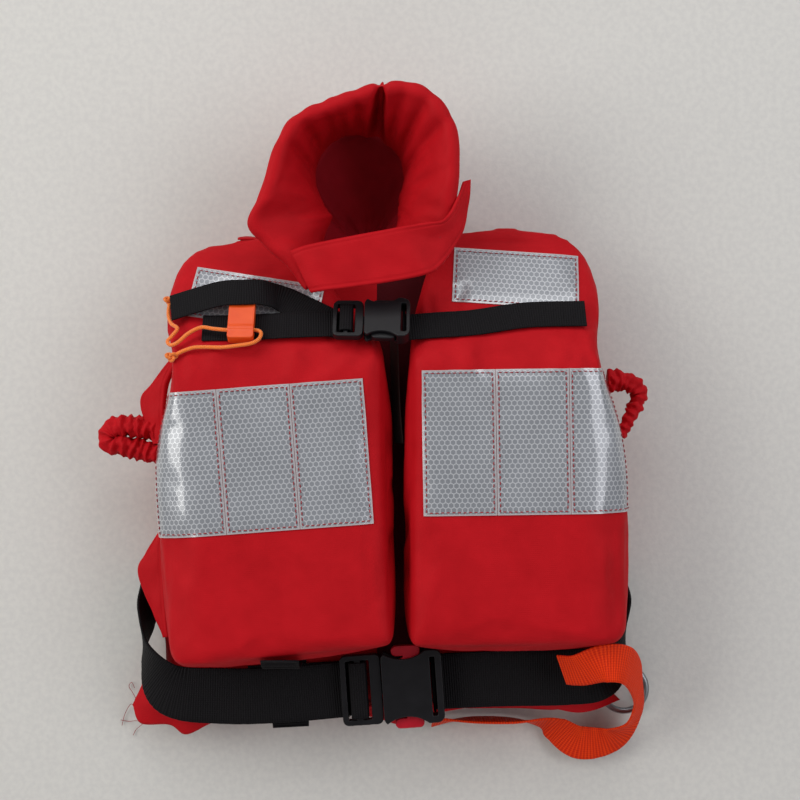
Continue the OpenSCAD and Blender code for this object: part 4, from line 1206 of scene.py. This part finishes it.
# The bottom hem of the outer bag is a flat double fold of cloth, wider than the foam. It shows
# under the belt, with a corner at the left that has come unsewn and frayed.
HEM_UPPER = [(-168, -176, 22), (-150, -178, 32), (-120, -183, 36), (-80, -188, 38), (-30, -189, 38),
             (20, -188, 38), (60, -184, 38), (100, -182, 38), (136, -181, 36), (152, -176, 32)]
HEM_LOWER = [(-177, -194, 17), (-171, -206, 20), (-150, -206, 24), (-138, -212.5, 26), (-118, -203, 29),
             (-92, -196, 32), (-40, -195, 32), (-8, -199, 31), (14, -205, 30), (36, -196, 32),
             (96, -189, 32), (136, -197, 26), (166, -190, 18)]
hem = build("hem_fold", *skin(band_rings(HEM_UPPER, HEM_LOWER, 180, 20, 1.8, 4.0)), red_cloth)
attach(hem, "jacket")

# Loose sewing threads hang from the frayed corner
THREADS = [
    [(-170, -204, 20), (-176, -199, 12), (-181, -196, 4), (-186, -204, 1), (-188, -212, 1)],
    [(-170, -204, 19), (-175, -194, 10), (-180, -188, 3), (-183, -184, 1), (-181, -181, 1.5), (-179, -185, 1)],
    [(-171, -205, 19), (-177, -207, 8), (-183, -209, 1), (-189, -208, 1)],
    [(-169, -206, 18), (-174, -211, 8), (-178, -215, 1), (-180, -219, 1)],
]
for k, route in enumerate(THREADS):
    line = evenly(smooth_line(mm(*route), 10), 0.0006)
    strand = build(f"loose_thread_{k + 1}", *skin(tube_rings(line, lambda i, t: 0.00022, 6)), thread)
    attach(strand, "jacket")

# ======== Gathered elastic loops ========
# A tube of shell cloth is gathered over an elastic cord at each side, so it is crumpled into
# small lobes all round.
LEFT_LOOP = [(-149, 0, 46), (-165, 2, 46), (-178, 3, 45), (-187, -1, 44), (-187, -8, 44), (-176, -11, 45),
             (-162, -14, 45), (-149, -17, 46)]
RIGHT_LOOP = [(153, 34, 46), (163, 34, 46), (171, 31, 45), (175, 25, 44), (172, 17, 44), (168, 9, 45),
              (161.5, -4, 46)]
for side, route, seed, end in (("left", LEFT_LOOP, 2.0, 1.0), ("right", RIGHT_LOOP, 9.0, 0.5)):
    line = evenly(smooth_line(mm(*route), 12), 0.0004)

    def thin(i):
        return 1.1 + (end - 1.1) * i / len(line)

    def lobes(i, turn):
        along = i * 0.4
        wrap = Vector((math.cos(turn) * 0.8, math.sin(turn) * 0.8, along * 0.12 + seed))
        phase = along / 5.6 * 2 * math.pi + 3.6 * noise.noise(wrap) + 1.1 * math.sin(turn + seed + along * 0.2)
        crumple = math.sin(phase) * 0.75 + noise.noise(wrap * 2.2) * 2.0 + noise.noise(wrap * 5) * 0.8
        return (6.6 + crumple) * thin(i) * MM

    sleeve = build(f"{side}_elastic_gather", *skin(tube_rings(line, lobes, 28)), red_cloth)
    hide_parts(f"{side}_elastic_sleeve", f"{side}_elastic_core")
    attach(sleeve, "jacket")

# ======== Lifting loop, ring and label ========
# A loop of orange webbing for lifting the wearer is sewn at the lower right corner, and goes
# down to the table and back along the hem. A steel ring lies under it.
LOOP_ROUTE = [(119, -159, 69), (130, -158, 76), (145, -152, 84), (160, -154, 78), (170, -166, 58), (175, -182, 38),
              (174, -202, 24), (160, -218, 16), (138, -221, 14), (122, -212, 14), (112, -207, 14),
              (90, -205.5, 14), (60, -205, 14), (34, -206, 16)]
LOOP_FACES = [(-0.3, -0.6, 1), (-0.2, -0.5, 1), (0.1, 0, 1), (0.6, 0.1, 1), (0.9, 0, 0.6), (1, -0.1, 0.4),
              (0.8, -0.5, 0.5), (0.2, -0.6, 1), (-0.2, -0.2, 1), (-0.4, -0.6, 1), (-0.2, -1, 0.5), (0, -1, 0.1),
              (0, -1, 0.1), (0, -1, 0.5)]
lifting = ribbon("lifting_webbing", mm(*LOOP_ROUTE), LOOP_FACES, 25, 1.6, orange_webbing,
                 rib=1.9, rib_high=0.14, seed=11.0)
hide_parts("lifting_loop")
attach(lifting, "jacket")

# Drawn and zinc-plated steel wire: cold grey, with dull patches
steel, shader = start_material("zinc-plated steel", Metallic=1.0, Roughness=0.38)
place = add(steel, "TexCoord").outputs["Object"]
patches = add(steel, "TexNoise", None, {"Vector": place, "Scale": 160, "Detail": 4})
rough = add(steel, "MapRange", None, {"Value": patches, 3: 0.3, 4: 0.5})
tint = add(steel, "Mix", {"data_type": "RGBA"}, {0: patches, 6: linear("#7d8083"), 7: linear("#a3a7ab")})
join(steel, shader, Base_Color=tint.outputs[2], Roughness=rough)
RING_AT, RING_R, WIRE_R = Vector((170, -184, 8)), 15.8, 2.2
ring_line = [(RING_AT + Vector((math.cos(t), math.sin(t), 0)) * RING_R) * MM
             for t in np.linspace(0, 2 * math.pi, 97)[:-1]]
ring_rings = []
for i, p in enumerate(ring_line):
    out = (p - RING_AT * MM).normalized()
    ring_rings.append([p + (out * math.cos(t) + Vector((0, 0, 1)) * math.sin(t)) * WIRE_R * MM
                       for t in np.linspace(0, 2 * math.pi, 21)[:-1]])
ring = build("steel_loop_ring", *skin(ring_rings + [ring_rings[0]], capped=False), steel)
welded = bmesh.new()
welded.from_mesh(ring.data)
bmesh.ops.remove_doubles(welded, verts=welded.verts, dist=1e-6)
welded.to_mesh(ring.data)
welded.free()
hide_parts("loop_ring")
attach(ring, "jacket")

# Woven label tape inside the front opening, plain and dark
label_cloth, shader = start_material("woven label tape", Roughness=0.8)
place = add(label_cloth, "TexCoord").outputs["Object"]
rows = add(label_cloth, "TexWave", {"bands_direction": "Y"}, {"Vector": place, "Scale": 500, "Distortion": 0.4})
# The woven rows are painted lighter, with darker bands between them: painted shade.
tint = add(label_cloth, "Mix", {"data_type": "RGBA"}, {0: rows, 6: linear("#2b2322"), 7: linear("#453a36")})
bump = add(label_cloth, "Bump", None, {"Strength": 0.3, "Distance": 0.0002, "Height": rows})
join(label_cloth, shader, Base_Color=tint.outputs[2], Normal=bump)
LABEL_ROUTE = [(7, 61, 60), (7.5, 40, 59), (8.5, 15, 58.5), (10.5, -8, 58)]
label = ribbon("inner_label_tape", mm(*LABEL_ROUTE), [(-0.97, 0, 0.24)] * 4, 22, 0.7, label_cloth,
               rib=3, rib_high=0.05, sag=0.8, seed=12.0)
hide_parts("inner_label")
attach(label, "jacket")
